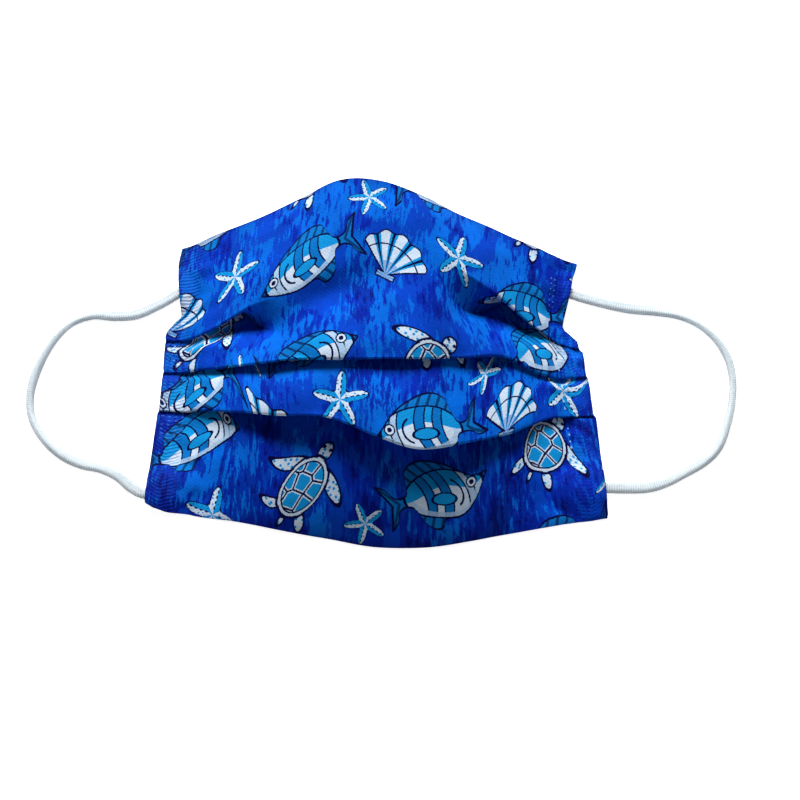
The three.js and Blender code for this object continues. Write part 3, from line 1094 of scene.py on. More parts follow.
@dataclass
class EarLoop:
    """A loop of knitted elastic lying on the table, from under one corner of the cloth to another.

    route holds its centre line's points and length its length, in metres, and twist how far its flat
    side has turned about the line, in degrees, at even steps along it. The sizes of its section, its
    ribs and the groove down one flat side, which has a depth and a spread, are in millimetres.
    """

    name: str
    node: str
    route: tuple[tuple[float, float, float], ...]
    length: float
    twist: tuple[float, ...]
    width: float = 3.4
    thick: float = 2.1
    corner: float = 4.2
    groove: tuple[float, float] = (0.12, 0.24)
    uneven_waves: Waves = Waves(21.0, 3)
    uneven: float = 0.05
    rib: float = 0.74
    rib_height: float = 0.07
    slack_waves: Waves = Waves(9.0, 5)
    slack_ribs: float = 0.32
    fuzz_waves: Waves = Waves(1.1, 8)
    fuzz: float = 0.025
    cap: float = 0.6
    floor_gap: float = 0.03
    step: float = 0.14
    sides: int = 28

    def tube(self) -> tuple[MeshData, Array]:
        """The elastic's surface along its line.

        At angle a round the line the radius is that of a superellipse of the elastic's width and
        thickness, whose power makes it a flat tube with rounded corners, less the groove. Fine ribs cross
        it as the sine of the distance along it over the rib's pitch, each broken into stitches by slower
        waves round it; they are low near its ends, where it is slack. The section turns with the twist,
        and shrinks to a rounded cap at each end.

        Returns:
            The mesh's data and the centre line's points, in millimetres.
        """
        line = spline(np.array(self.route), self.step * MM) / MM
        along = way_along(line)[:, None]
        total = along[-1, 0]
        tangent = unit(np.gradient(line, axis=0))[:, None]
        side = unit(np.cross(tangent, [0.0, 0.0, 1.0]))
        over = np.cross(side, tangent)
        a = (np.arange(self.sides) / self.sides * 2 * np.pi)[None, :]
        b = a - np.radians(through(self.twist, along / total))
        strand = np.stack([along, 0 * along], -1)

        halves = ((np.cos(b), self.width / 2), (np.sin(b), self.thick / 2))
        radius = sum((np.abs(way) / half) ** self.corner for way, half in halves) ** (-1 / self.corner)
        radius = radius * (1 + self.uneven * self.uneven_waves.at(strand))
        depth, spread = self.groove
        from_groove = (b + np.pi) % (2 * np.pi) - 1.5 * np.pi
        radius = radius - depth * np.exp(-((from_groove / spread) ** 2))
        ribs = np.sin(2 * np.pi * along / self.rib + 0.8 * np.sin(2 * b) + 0.5 * np.sin(5 * b))
        stitch = ribs * (0.75 + 0.25 * np.cos(8 * b))
        pulled = np.sin(np.pi * along / total) ** 3 * (0.75 + 0.25 * self.slack_waves.at(strand))
        radius = radius + self.rib_height * blend(self.slack_ribs, 1.0, pulled) * stitch
        around = np.stack([along + 0 * b, 6 * b + 0 * along], -1)
        radius = radius + self.fuzz * self.fuzz_waves.at(around)
        to_end = np.clip(np.minimum(along, total - along) / self.cap, 0, 1)
        radius = (radius * np.sqrt(1 - (1 - to_end) ** 2 * (1 - math.sqrt(TINY))))[..., None]

        points = line[:, None] + radius * (np.cos(a)[..., None] * side + np.sin(a)[..., None] * over)
        points[..., 2] = np.maximum(points[..., 2], self.floor_gap)
        uv = np.stack([b * self.width / 2 + 0 * along, along - total / 2 + 0 * b], -1)
        faces = closed_faces(len(line), self.sides)
        # The rib mask also places the shade painted between the ribs in the knitted material.
        return MeshData.one_finish(points, faces, uv, rib=smooth(0.5 + 0.5 * stitch)), line

    def build(self, finish: bpy.types.Material, fused: Sequence[bpy.types.Object]) -> bpy.types.Object:
        """Args:
            finish: The knitted elastic's material.
            fused: The two fused ends that go with it; not used.

        Returns:
            The piece, which stands for the plain CAD tube.
        """
        data, line = self.tube()
        piece = make_piece(self.name, data, (finish,))
        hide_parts(self.node)
        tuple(self.route[0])
        list(fused)
        return piece


@dataclass
class FusedEnd:
    """An ear loop's end, pressed and fused flat against the cloth's inner face.

    clear is its gap to the cloth, near how far around it the cloth's face is fitted, and neck how much
    longer it is towards the loop and over what angle.
    """

    corner: str
    way: Exit
    cloth: PleatedCloth
    length: float = 8.0
    width: float = 4.6
    thick: float = 1.2
    clear: float = 0.12
    floor_gap: float = 0.02
    near: float = 5.5
    neck: tuple[float, float] = (0.1, 0.5)
    taper: float = 0.12
    dimple_pitch: float = 1.15
    dimple_depth: float = 0.35
    dimpled: float = 0.8
    pole: float = 0.02
    rings: int = 26
    around: int = 56

    def inner_face(self) -> Callable[[Array], Array]:
        """The cloth's inner face near the end, as a fitted paraboloid.

        Returns:
            A function from places on the table to the face's height there.
        """
        face = self.cloth.faces_at(-1)
        rows = self.cloth.rows["panel_0" if "upper" in self.corner else "chin_panel"]
        points = face[:, rows].reshape(-1, 3)
        centre = np.array(self.way.pad)
        near = points[np.linalg.norm(points[:, :2] - centre, axis=1) < self.near]

        def terms(xy: Array) -> Array:
            """One, x, y, x squared, x y and y squared, about the end's middle."""
            x, y = xy[..., 0] - centre[0], xy[..., 1] - centre[1]
            return np.stack([1 + 0 * x, x, y, x * x, x * y, y * y], -1)

        fit = np.linalg.lstsq(terms(near[:, :2]), near[:, 2], rcond=None)[0]
        drop = min(0.0, float((near[:, 2] - terms(near[:, :2]) @ fit).min()))

        def height(xy: Array) -> Array:
            """The paraboloid's height, lowered until it is nowhere above the face."""
            return terms(xy) @ fit + drop

        return height

    def build(self, finish: bpy.types.Material) -> bpy.types.Object:
        """Makes the end as a closed flat lozenge with a pressed grid of dimples.

        Its outline is an ellipse with the neck of the elastic at one end. At a share r of the way out
        the half thickness is the root of (1 less r to the fourth), less dimples that are the product of
        two cosines.

        Args:
            finish: The fused elastic's material.

        Returns:
            The piece, which stands for the plain CAD end.
        """
        out, back = np.linspace(self.pole, 1, self.rings), np.linspace(1, self.pole, self.rings)[1:]
        r = np.concatenate([out, back])[:, None]
        top = np.repeat([1.0, -1.0], [len(out), len(back)])[:, None]
        a = (np.arange(self.around) / self.around * 2 * np.pi)[None, :]
        longer, spread = self.neck
        u = self.length / 2 * r * np.cos(a) * (1 + longer * np.exp(-(((a - np.pi) / spread) ** 2)))
        v = self.width / 2 * r * np.sin(a) * (1 - self.taper * np.cos(a))
        waves = (np.cos(2 * np.pi * x / self.dimple_pitch) for x in (u, v))
        dimple = np.clip(math.prod(waves), 0, 1) ** 2
        half = self.thick / 2 * np.sqrt(np.clip(1 - r**4, 0, 1))
        half = half * (1 - self.dimple_depth * dimple * (r < self.dimpled))
        turn = math.radians(self.way.heading)
        cos, sin = math.cos(turn), math.sin(turn)
        xy = np.stack([u * cos - v * sin, u * sin + v * cos], -1) + np.array(self.way.pad)
        middle = self.inner_face()(xy) - self.clear - self.thick / 2
        z = np.maximum(middle + top * half, self.floor_gap)
        points = np.concatenate([xy, z[..., None]], -1)
        faces = closed_faces(*z.shape)
        data = MeshData.one_finish(points, faces, np.stack([u, v], -1), dimple=dimple)
        piece = make_piece(f"fused_end_{self.corner}", data, (finish,))
        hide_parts(f"loop_weld_{self.corner}")
        return piece


# ======== Shader building ========

VECTOR, VALUE, COLOUR = "NodeSocketVector", "NodeSocketFloat", "NodeSocketColor"
Colour = tuple[float, float, float, float]
WHITE: Colour = (1.0, 1.0, 1.0, 1.0)
Fed = Socket | float  # what a value socket takes: another socket, or a number
Given = Fed | tuple[float, ...] | None  # what any socket takes


def colour(red: int, green: int, blue: int) -> Colour:
    """A display colour of 0 to 255 as the linear values that shaders use."""
    shares = (v / 255 for v in (red, green, blue))
    return (*(c / 12.92 if c <= 0.04045 else ((c + 0.055) / 1.055) ** 2.4 for c in shares), 1.0)


class Graph:
    """Adds nodes to a material's or a group's tree, and joins them by the sockets that feed them."""

    def __init__(self, tree: bpy.types.NodeTree) -> None:
        """Works on the given tree."""
        self.tree = tree

    def feed(self, sockets: bpy.types.bpy_prop_collection, values: dict[str | int, Given]) -> None:
        """Joins outputs to sockets, or sets the sockets' own values; None leaves a socket as it is."""
        for key, value in values.items():
            if isinstance(value, bpy.types.NodeSocket):
                self.tree.links.new(value, sockets[key])
            elif value is not None:
                sockets[key].default_value = value

    def node(self, kind: str, values: dict[str | int, Given], **settings: object) -> bpy.types.Node:
        """A new shader node of the given kind, with its settings made and its sockets fed.

        Args:
            kind: The node's type.
            values: What feeds its sockets, by their names or numbers.
            settings: Values for the node's own properties.

        Returns:
            The node.
        """
        made = self.tree.nodes.new(f"ShaderNode{kind}")
        for key, value in settings.items():
            setattr(made, key, value)
        self.feed(made.inputs, values)
        return made

    def math(self, operation: str, *values: Fed) -> Socket:
        """A Math node's result."""
        return self.node("Math", dict(enumerate(values)), operation=operation).outputs[0]

    def add(self, a: Fed, b: Fed) -> Socket:
        """a plus b."""
        return self.math("ADD", a, b)

    def less(self, a: Fed, b: Fed) -> Socket:
        """a minus b."""
        return self.math("SUBTRACT", a, b)

    def times(self, a: Fed, b: Fed) -> Socket:
        """a times b."""
        return self.math("MULTIPLY", a, b)

    def linear(self, a: Fed, by: float, plus: float) -> Socket:
        """a times a number, plus another."""
        return self.math("MULTIPLY_ADD", a, by, plus)

    def size(self, a: Fed) -> Socket:
        """a without its sign."""
        return self.math("ABSOLUTE", a)

    def sine(self, a: Fed) -> Socket:
        """The sine of a."""
        return self.math("SINE", a)

    def below(self, a: Fed, limit: Fed) -> Socket:
        """1 where a is less than the limit, and 0 elsewhere."""
        return self.math("LESS_THAN", a, limit)

    def above(self, a: Fed, limit: Fed) -> Socket:
        """1 where a is greater than the limit, and 0 elsewhere."""
        return self.math("GREATER_THAN", a, limit)

    def near(self, a: Fed, middle: float, half: float) -> Socket:
        """1 where a is within half of the middle, and 0 elsewhere."""
        return self.below(self.size(self.less(a, middle)), half)

    def both(self, *masks: Socket) -> Socket:
        """The least of several masks."""
        return reduce(lambda a, b: self.math("MINIMUM", a, b), masks)

    def either(self, *masks: Socket) -> Socket:
        """The greatest of several masks."""
        return reduce(lambda a, b: self.math("MAXIMUM", a, b), masks)

    def vector(self, operation: str, *values: Given, scale: float | None = None) -> Socket:
        """A Vector Math node's result."""
        made = self.node("VectorMath", {**dict(enumerate(values)), "Scale": scale}, operation=operation)
        return made.outputs["Value" if operation == "LENGTH" else "Vector"]

    def away(self, place: Socket, x: float, y: float) -> Socket:
        """How far a place is from a point."""
        return self.vector("LENGTH", self.vector("SUBTRACT", place, (x, y, 0.0)))

    def split(self, vector: Socket) -> tuple[Socket, Socket]:
        """A vector's X and Y."""
        made = self.node("SeparateXYZ", {0: vector})
        return made.outputs[0], made.outputs[1]

    def joined(self, *values: Fed) -> Socket:
        """A vector of the given X, Y and Z."""
        return self.node("CombineXYZ", dict(enumerate(values))).outputs[0]

    def mix(self, share: Fed, a: Socket | Colour, b: Socket | Colour, how: str = "MIX") -> Socket:
        """Two colours mixed."""
        made = self.node("Mix", {0: share, 6: a, 7: b}, data_type="RGBA", blend_type=how)
        return made.outputs[2]

    def dimmed(self, tone: Socket, by: Socket) -> Socket:
        """A colour times a value."""
        return self.mix(1.0, tone, self.joined(by, by, by), "MULTIPLY")

    def ramp(
        self, value: Fed, low: float, high: float, to_low: float = 0.0, to_high: float = 1.0
    ) -> Socket:
        """A value carried from one range to another by an S-curve."""
        values = dict(enumerate((value, low, high, to_low, to_high)))
        return self.node("MapRange", values, interpolation_type="SMOOTHSTEP").outputs[0]

    def noise(
        self, vector: Socket, scale: float, detail: float = 3.0, rough: float = 0.5, bend: float = 0.0
    ) -> Socket:
        """Fractal noise of about 0 to 1."""
        values = {"Vector": vector, "Scale": scale, "Detail": detail, "Roughness": rough, "Distortion": bend}
        return self.node("TexNoise", values).outputs[0]

    def stretched(self, vector: Socket, x: float, y: float, turn: float = 0.0) -> Socket:
        """A place scaled along X and Y and turned, in degrees."""
        values = {"Vector": vector, "Rotation": (0, 0, math.radians(turn)), "Scale": (x, y, 1)}
        return self.node("Mapping", values).outputs[0]

    def cells(self, vector: Socket, scale: float, feature: str = "F1", random: float = 1.0) -> Socket:
        """The distance that a flat Voronoi texture gives."""
        values = {"Vector": vector, "Scale": scale, "Randomness": random}
        return self.node("TexVoronoi", values, voronoi_dimensions="2D", feature=feature).outputs["Distance"]

    def oval(
        self, place: Socket, middle: tuple[float, float], half: tuple[float, float], turn: float = 0.0
    ) -> Socket:
        """One less the distance from an ellipse's middle, measured in its half axes: 0 on its outline."""
        turned = self.stretched(self.vector("SUBTRACT", place, (*middle, 0.0)), 1, 1, -turn)
        return self.less(1.0, self.vector("LENGTH", self.vector("DIVIDE", turned, (*half, 1.0))))

    def outline(self, x: Socket, points: Sequence[tuple[float, float]]) -> Socket:
        """A drawn curve's height over x, both from 0 to 1.

        Args:
            x: The place along the curve.
            points: The points that the curve passes through.

        Returns:
            The height's socket.
        """
        made = self.node("FloatCurve", {"Value": x})
        curve = made.mapping.curves[0]
        while len(curve.points) < len(points):
            curve.points.new(0.5, 0.5)
        for point, place in zip(curve.points, points):
            point.location = place
            point.handle_type = "AUTO"
        made.mapping.update()
        return made.outputs[0]

    def bump(
        self, height: Socket, distance: float, strength: float = 1.0, normal: Socket | None = None
    ) -> Socket:
        """A normal tilted by a height, in metres."""
        values = {"Strength": strength, "Distance": distance, "Height": height, "Normal": normal}
        return self.node("Bump", values).outputs[0]

    def use(self, group: bpy.types.NodeTree, place: Socket) -> bpy.types.bpy_prop_collection:
        """The outputs of a group placed in the tree."""
        return self.node("Group", {"Place": place}, node_tree=group).outputs

    def flat_place(self) -> Socket:
        """The place on the flat cloth or cord, in millimetres, from the piece's own UV map."""
        uv = self.node("UVMap", {}, uv_map="UVMap").outputs[0]
        return self.vector("SCALE", self.vector("SUBTRACT", uv, (0.5, 0.5, 0.0)), scale=UV_SPAN)

    def written(self, name: str) -> Socket:
        """A named value written on the piece's points."""
        return self.node("Attribute", {}, attribute_type="GEOMETRY", attribute_name=name).outputs["Fac"]


def new_group(name: str, **outputs: str) -> tuple[Graph, Socket, Callable[..., bpy.types.NodeTree]]:
    """An empty shader node group that takes a place on the flat cloth.

    Args:
        name: The group's name.
        outputs: Each output's name and socket type.

    Returns:
        A graph that works on the group, its input, and a function that feeds its outputs and returns it.
    """
    group = bpy.data.node_groups.new(name, "ShaderNodeTree")
    group.interface.new_socket(name="Place", in_out="INPUT", socket_type=VECTOR)
    for key, kind in outputs.items():
        group.interface.new_socket(name=key, in_out="OUTPUT", socket_type=kind)
    g, source, sink = Graph(group), group.nodes.new("NodeGroupInput"), group.nodes.new("NodeGroupOutput")

    def give(**values: Socket) -> bpy.types.NodeTree:
        """Feeds the group's outputs, and returns it."""
        g.feed(sink.inputs, values)
        return group

    return g, source.outputs["Place"], give


def new_material(name: str) -> tuple[Graph, Callable[..., bpy.types.Material]]:
    """An empty material with a Principled shader.

    Args:
        name: The material's name.

    Returns:
        A graph that works on its tree, and a function that feeds its shader's sockets, whose names are
        written with underscores for their spaces, and returns the material.
    """
    material = bpy.data.materials.new(name)
    material.use_nodes = True
    material.node_tree.nodes.clear()
    g = Graph(material.node_tree)
    shader = g.node("BsdfPrincipled", {})
    g.node("OutputMaterial", {"Surface": shader.outputs["BSDF"]})

    def dress(**values: Given) -> bpy.types.Material:
        """Feeds the shader, and returns the material.

        Args:
            values: What feeds its sockets, by their names.

        Returns:
            The material.
        """
        titles = {key: key.replace("_", " ").title().replace("Ior", "IOR") for key in values}
        g.feed(shader.inputs, {titles[key]: value for key, value in values.items()})
        return material

    return g, dress


# ======== The print ========


@dataclass(frozen=True)
class Inks:
    """The print's colours, and the pale colour of the highlight painted on the weld marks."""

    azure: Colour = colour(0, 92, 196)
    cobalt: Colour = colour(0, 57, 172)
    deep: Colour = colour(0, 26, 142)
    navy: Colour = colour(0, 5, 92)
    back: Colour = colour(12, 134, 202)
    fin: Colour = colour(4, 104, 180)
    pale: Colour = colour(186, 203, 223)
    shade: Colour = colour(154, 182, 212)
    line: Colour = colour(2, 4, 58)
    # Not an ink: the pale colour of the highlight painted in the middle of each weld mark.
    painted_glint: Colour = colour(136, 192, 236)


class Motif(Enum):
    """What the print shows: plain sea creatures of no particular kind."""

    REEF_FISH = "reef_fish"
    STARFISH = "starfish"
    SCALLOP = "scallop"
    TURTLE = "turtle"


@dataclass(frozen=True)
class Placed:
    """A motif's place in the repeat, in millimetres and degrees; a negative stretch mirrors it."""

    motif: Motif
    x: float
    y: float
    size: float
    turn: float
    stretch: float = 1.0


@dataclass(frozen=True)
class SeaPrint:
    """A half-drop repeat of sea creatures over brushed patches of blue.

    The ground turns deeper along the cloth between two given places, in millimetres: partly the print's
    own deeper blue and partly painted shade on the chin panel, which faces away from the light.
    A motif is drawn on a place that runs from -1 to 1 both ways. Its field is above 0 inside its outline,
    and lines holds how far the field's outline ink runs in.
    """

    inks: Inks = Inks()
    # Where the ground deepens: partly the print's deeper blue, partly painted shade on the chin panel.
    deepens_with_shade: tuple[float, float] = (-18.0, -58.0)
    width: float = 80.0
    height: float = 68.0
    placed: tuple[Placed, ...] = (
        Placed(Motif.REEF_FISH, -21, 15, 18.0, 24),
        Placed(Motif.REEF_FISH, 18, -16, 18.5, -20, -1),
        Placed(Motif.TURTLE, 17, 17, 15.5, 52),
        Placed(Motif.STARFISH, -11, -10, 10.0, 10),
        Placed(Motif.SCALLOP, -33, -16, 9.6, -22),
        Placed(Motif.STARFISH, 37, 3, 7.2, 40),
    )
    lines: tuple[tuple[Motif, float], ...] = (
        (Motif.REEF_FISH, 0.034),
        (Motif.STARFISH, 0.06),
        (Motif.SCALLOP, 0.055),
        (Motif.TURTLE, 0.035),
    )

    def ground(self) -> bpy.types.NodeTree:
        """The brushed patches, as a group that gives a colour for a place on the cloth.

        Slow noise, drawn out along the cloth and ragged by quick streaks, is cut at three heights into
        azure, cobalt, deep blue and navy; it turns deeper towards the chin edge, partly as painted shade.

        Returns:
            The group.
        """
        g, place, give = new_group("brushed_sea_ground", Color=COLOUR)
        streaks = g.less(g.noise(g.stretched(place, 1.25, 0.24), 0.62, 4, 0.62), 0.5)
        flecks = g.less(g.noise(g.stretched(place, 1.0, 0.5, 12), 1.7, 3, 0.6), 0.5)
        broad = g.noise(g.stretched(place, 1.0, 0.62), 0.062, 3, 0.55, 0.5)
        broad = g.add(broad, g.add(g.times(streaks, 0.55), g.times(flecks, 0.12)))
        moved = g.vector("ADD", place, (91.0, 37.0, 0.0))
        second = g.noise(g.stretched(moved, 1.15, 0.5), 0.085, 3, 0.6, 0.6)
        second = g.add(second, g.add(g.times(streaks, -0.75), g.times(flecks, 0.15)))
        # Painted shade, in part: the ground deepens towards the chin edge, partly as the print's own deeper
        # blue and partly as shade on the chin panel.
        deeper_and_shaded = g.ramp(g.split(place)[1], *self.deepens_with_shade)
        broad = g.add(broad, g.times(deeper_and_shaded, -0.08))
        second = g.add(second, g.times(deeper_and_shaded, 0.1))
        tone = g.mix(g.ramp(broad, 0.49, 0.515), self.inks.cobalt, self.inks.azure)
        tone = g.mix(g.times(g.ramp(second, 0.565, 0.6), 0.85), tone, self.inks.deep)
        tone = g.mix(g.times(g.ramp(second, 0.7, 0.74), 0.75), tone, self.inks.navy)
        return give(Color=g.dimmed(tone, g.ramp(g.noise(place, 0.11, 2, 0.5), 0.3, 0.7, 0.88, 1.1)))

    def lined(self, g: Graph, tone: Socket, *masks: Socket) -> Socket:
        """A colour with the line ink over it wherever a mask is 1."""
        return g.mix(g.either(*masks), tone, self.inks.line)

    def reef_fish(self, g: Graph, place: Socket) -> tuple[Socket, Socket]:
        """A round-bodied reef fish with banded sides, heading along +X: its colour and its field.

        Two drawn curves give the outline above and below, a notch cuts the tail, and an ellipse divides
        the body from its fins.

        Args:
            g: The graph that it is drawn in.
            place: A place measured in the motif's own size.

        Returns:
            The sockets of the two.
        """
        x, y = g.split(place)
        height = g.size(y)
        along = g.linear(x, 0.5, 0.5)
        tail, nose = ((0, 0.42), (0.07, 0.33), (0.17, 0.1)), (1, 0.02)
        back = ((0.24, 0.12), (0.31, 0.5), (0.42, 0.6), (0.62, 0.52), (0.8, 0.33), (0.93, 0.12))
        chest = (
            (0.25, 0.12), (0.33, 0.48), (0.42, 0.56), (0.5, 0.42), (0.64, 0.4), (0.82, 0.26), (0.94, 0.1),
        )
        above, under = (g.outline(along, (*tail, *side, nose)) for side in (back, chest))
        notch = g.add(x, g.add(0.84, g.times(height, 0.42)))
        field = g.both(g.less(above, y), g.add(under, y), g.times(notch, 0.8), g.less(1.0, g.size(x)))

        rays = g.above(g.sine(g.times(g.add(x, g.times(height, 0.7)), 34)), 0.55)
        fin = g.mix(g.times(rays, 0.75), self.inks.fin, self.inks.line)
        belly = g.below(y, g.linear(g.sine(g.linear(x, 4.2, 0.7)), 0.07, 0.05))
        body = g.mix(belly, self.inks.back, self.inks.pale)
        lean = g.add(x, g.times(g.times(y, y), 0.9))
        bands = ((-0.12, 0.07, self.inks.fin), (0.2, 0.075, self.inks.fin), (0.66, 0.05, self.inks.shade))
        for middle, half, ink in bands:
            body = self.lined(g, body, g.near(lean, middle, half + 0.028))
            body = g.mix(g.near(lean, middle, half), body, ink)
        oval = g.oval(place, (0.16, 0.0), (0.74, 0.385))
        shade = g.both(belly, g.below(oval, 0.22))
        body = g.mix(g.times(shade, 0.8), body, self.inks.shade)
        tone = self.lined(g, g.mix(g.above(oval, 0.0), fin, body), g.near(oval, 0.0, 0.035))

        gill = g.both(g.near(g.away(place, 0.28, 0.0), 0.22, 0.018), g.above(x, 0.36))
        side_fin = g.oval(place, (0.12, -0.08), (0.2, 0.085))
        tone = self.lined(g, tone, g.above(side_fin, -0.25))
        tone = g.mix(g.above(side_fin, 0.0), tone, self.inks.back)
        eye = g.away(place, 0.72, 0.08)
        tone = self.lined(g, tone, gill, g.below(eye, 0.1))
        return g.mix(g.both(g.below(eye, 0.075), g.above(eye, 0.042)), tone, self.inks.pale), field

    def starfish(self, g: Graph, place: Socket) -> tuple[Socket, Socket]:
        """A five-armed starfish: its colour and its field.

        Its outline's radius is 0.38 plus 0.6 times a power of half of one plus the cosine of five times
        the angle. One side of each arm is shaded, and a dotted ridge runs down it.

        Args:
            g: The graph that it is drawn in.
            place: A place measured in the motif's own size.

        Returns:
            The sockets of the two.
        """
        x, y = g.split(place)
        reach = g.vector("LENGTH", place)
        angle = g.math("ARCTAN2", y, x)
        wave = g.linear(g.math("COSINE", g.times(angle, 5.0)), 0.5, 0.5)
        field = g.less(g.linear(g.math("POWER", wave, 1.7), 0.6, 0.38), reach)
        tone = g.mix(g.above(g.sine(g.times(angle, 5.0)), 0.0), self.inks.back, self.inks.pale)
        ridge = g.times(g.size(g.sine(g.times(angle, 2.5))), reach)
        dots = g.above(g.sine(g.times(reach, 34.0)), -0.2)
        tone = self.lined(g, tone, g.both(g.below(ridge, 0.06), dots, g.above(reach, 0.12)))
        spots = g.both(g.below(g.cells(place, 6.5, random=0.5), 0.2), g.above(ridge, 0.12))
        return g.mix(g.times(spots, 0.9), tone, self.inks.fin), field

    def scallop(self, g: Graph, place: Socket) -> tuple[Socket, Socket]:
        """A fan-shaped shell with its hinge below: its colour and its field.

        It is a sector about the hinge whose radius ripples with its ribs, and a small bar at the hinge.

        Args:
            g: The graph that it is drawn in.
            place: A place measured in the motif's own size.

        Returns:
            The sockets of the two.
        """
        local = g.vector("SUBTRACT", place, (0.0, -0.8, 0.0))
        x, y = g.split(local)
        reach = g.vector("LENGTH", local)
        angle = g.math("ARCTAN2", x, y)
        rib = g.math("COSINE", g.times(angle, 15.0))
        edge = g.less(g.linear(rib, 0.05, 1.62), g.times(g.times(angle, angle), 0.22))
        sides = g.times(g.times(g.less(0.98, g.size(angle)), reach), 0.9)
        bar = g.both(g.less(0.13, g.size(g.less(y, 0.02))), g.less(0.36, g.size(x)))
        field = g.either(g.both(g.less(edge, reach), sides), bar)
        tone = g.mix(g.above(rib, -0.15), self.inks.back, self.inks.pale)
        grooves = g.both(g.below(rib, -0.88), g.above(reach, 0.3))
        tone = self.lined(g, tone, g.near(reach, 1.12, 0.025), grooves)
        return g.mix(g.times(g.below(reach, 0.55), 0.5), tone, self.inks.fin), field

    def turtle(self, g: Graph, place: Socket) -> tuple[Socket, Socket]:
        """A swimming turtle seen from above, heading along +X: its colour and its field.

        Its outline is the union of ellipses: shell, head, tail and four flippers. Cells divide the shell.

        Args:
            g: The graph that it is drawn in.
            place: A place measured in the motif's own size.

        Returns:
            The sockets of the two.
        """
        flippers = (
            ((x, side * y), half, side * turn)
            for x, y, half, turn in ((0.27, 0.56, (0.46, 0.15), 120), (-0.55, 0.36, (0.27, 0.12), 143))
            for side in (1, -1)
        )
        ends = (((0.74, 0.0), (0.23, 0.16), 0), ((-0.68, 0.0), (0.18, 0.07), 0))
        limbs = [g.times(g.oval(place, *limb), min(limb[1])) for limb in (*ends, *flippers)]
        shell = g.times(g.oval(place, (0.02, 0.0), (0.62, 0.46)), 0.46)
        skin = g.mix(g.below(g.cells(place, 9.0, random=0.7), 0.26), self.inks.pale, self.inks.back)
        gaps = g.cells(place, 3.1, "DISTANCE_TO_EDGE", 0.35)
        plates = g.mix(g.below(gaps, 0.13), self.inks.back, self.inks.pale)
        plates = self.lined(g, plates, g.below(gaps, 0.055))
        plates = g.mix(g.below(shell, 0.085), plates, self.inks.pale)
        plates = self.lined(g, plates, g.both(g.below(shell, 0.1), g.above(shell, 0.075)))
        tone = g.mix(g.above(shell, 0.0), skin, plates)
        x, y = g.split(place)
        eyes = g.vector("LENGTH", g.joined(g.less(x, 0.82), g.less(g.size(y), 0.08)))
        tone = self.lined(g, tone, g.below(eyes, 0.035), g.near(shell, 0.0, 0.022))
        return tone, g.either(*limbs, shell)

    def drawing(self, motif: Motif) -> bpy.types.NodeTree:
        """A motif as a group that gives its colour, outlined in the line ink, and its mask.

        Args:
            motif: Which motif.

        Returns:
            The group.
        """
        g, place, give = new_group(motif.value, Color=COLOUR, Mask=VALUE)
        tone, field = getattr(self, motif.value)(g, place)
        outline = g.below(field, dict(self.lines)[motif])
        return give(Color=self.lined(g, tone, outline), Mask=g.above(field, 0.0))

    def local(self, g: Graph, place: Socket, item: Placed) -> Socket:
        """A place measured from the nearest copy of a motif, in its own size.

        Each row of the repeat is moved across by half its width.

        Args:
            g: The graph that measures it.
            place: A place on the cloth.
            item: The motif in its repeat.

        Returns:
            The socket of the measured place.
        """
        x, y = g.split(place)
        v = g.math("DIVIDE", g.less(y, item.y), self.height)
        row = g.math("ROUND", v)
        u = g.math("DIVIDE", g.add(g.less(x, item.x), g.times(row, self.width / 2)), self.width)
        dx = g.times(g.less(u, g.math("ROUND", u)), self.width)
        dy = g.times(g.less(v, row), self.height)
        return g.stretched(g.joined(dx, dy), item.stretch / item.size, 1 / item.size, -item.turn)

    def group(self) -> bpy.types.NodeTree:
        """The whole print, as a group that gives a colour for a place on the cloth.

        Returns:
            The group.
        """
        g, place, give = new_group("sea_print", Color=COLOUR)
        drawn = {motif: self.drawing(motif) for motif in Motif}
        tone = g.use(self.ground(), place)["Color"]
        for item in self.placed:
            made = g.use(drawn[item.motif], self.local(g, place, item))
            tone = g.mix(made["Mask"], tone, made["Color"])
        return give(Color=tone)


# ======== Finishes ========


@dataclass(frozen=True)
class BondedNonwoven:
    """Spunbonded cloth: loose fibres pressed together at a lattice of small oval points.

    pitch and point, the points' spacing and size, are in millimetres. fibres holds the slant of each
    set of fibres, in degrees, and how fine it is.
    """

    pitch: float = 1.25
    point: float = 0.3
    fibres: tuple[tuple[float, float], ...] = ((24.0, 2.6), (-31.0, 3.1), (82.0, 2.9))

    def group(self) -> bpy.types.NodeTree:
        """The cloth's texture, as a group that gives a height and a tone, both from 0 to 1.

        Fibres are the ridges of noises drawn out at a slant to each other; the points are the cells of a
        turned square lattice, squeezed to ovals.

        Returns:
            The group.
        """
        g, place, give = new_group("bonded_nonwoven", Height=VALUE, Tone=VALUE)
        drawn_out = ((g.stretched(place, 1.0, 0.16, turn), fine) for turn, fine in self.fibres)
        waves = (g.noise(*fibre, 2, 0.6, 0.8) for fibre in drawn_out)
        strands = g.either(*(g.ramp(g.size(g.less(wave, 0.5)), 0.0, 0.09, 1.0, 0.0) for wave in waves))
        lattice = g.cells(g.stretched(place, 1.0, 1.45, 45), 1 / self.pitch, random=0.0)
        loose = g.less(1.0, g.ramp(lattice, self.point * 0.6, self.point * 1.15, 1.0, 0.0))
        cloud = g.noise(place, 0.35, 3, 0.6)
        tone = g.add(g.times(strands, 0.4), g.add(g.times(cloud, 0.45), g.times(loose, 0.2)))
        return give(Height=g.times(g.linear(strands, 0.45, 0.55), loose), Tone=tone)


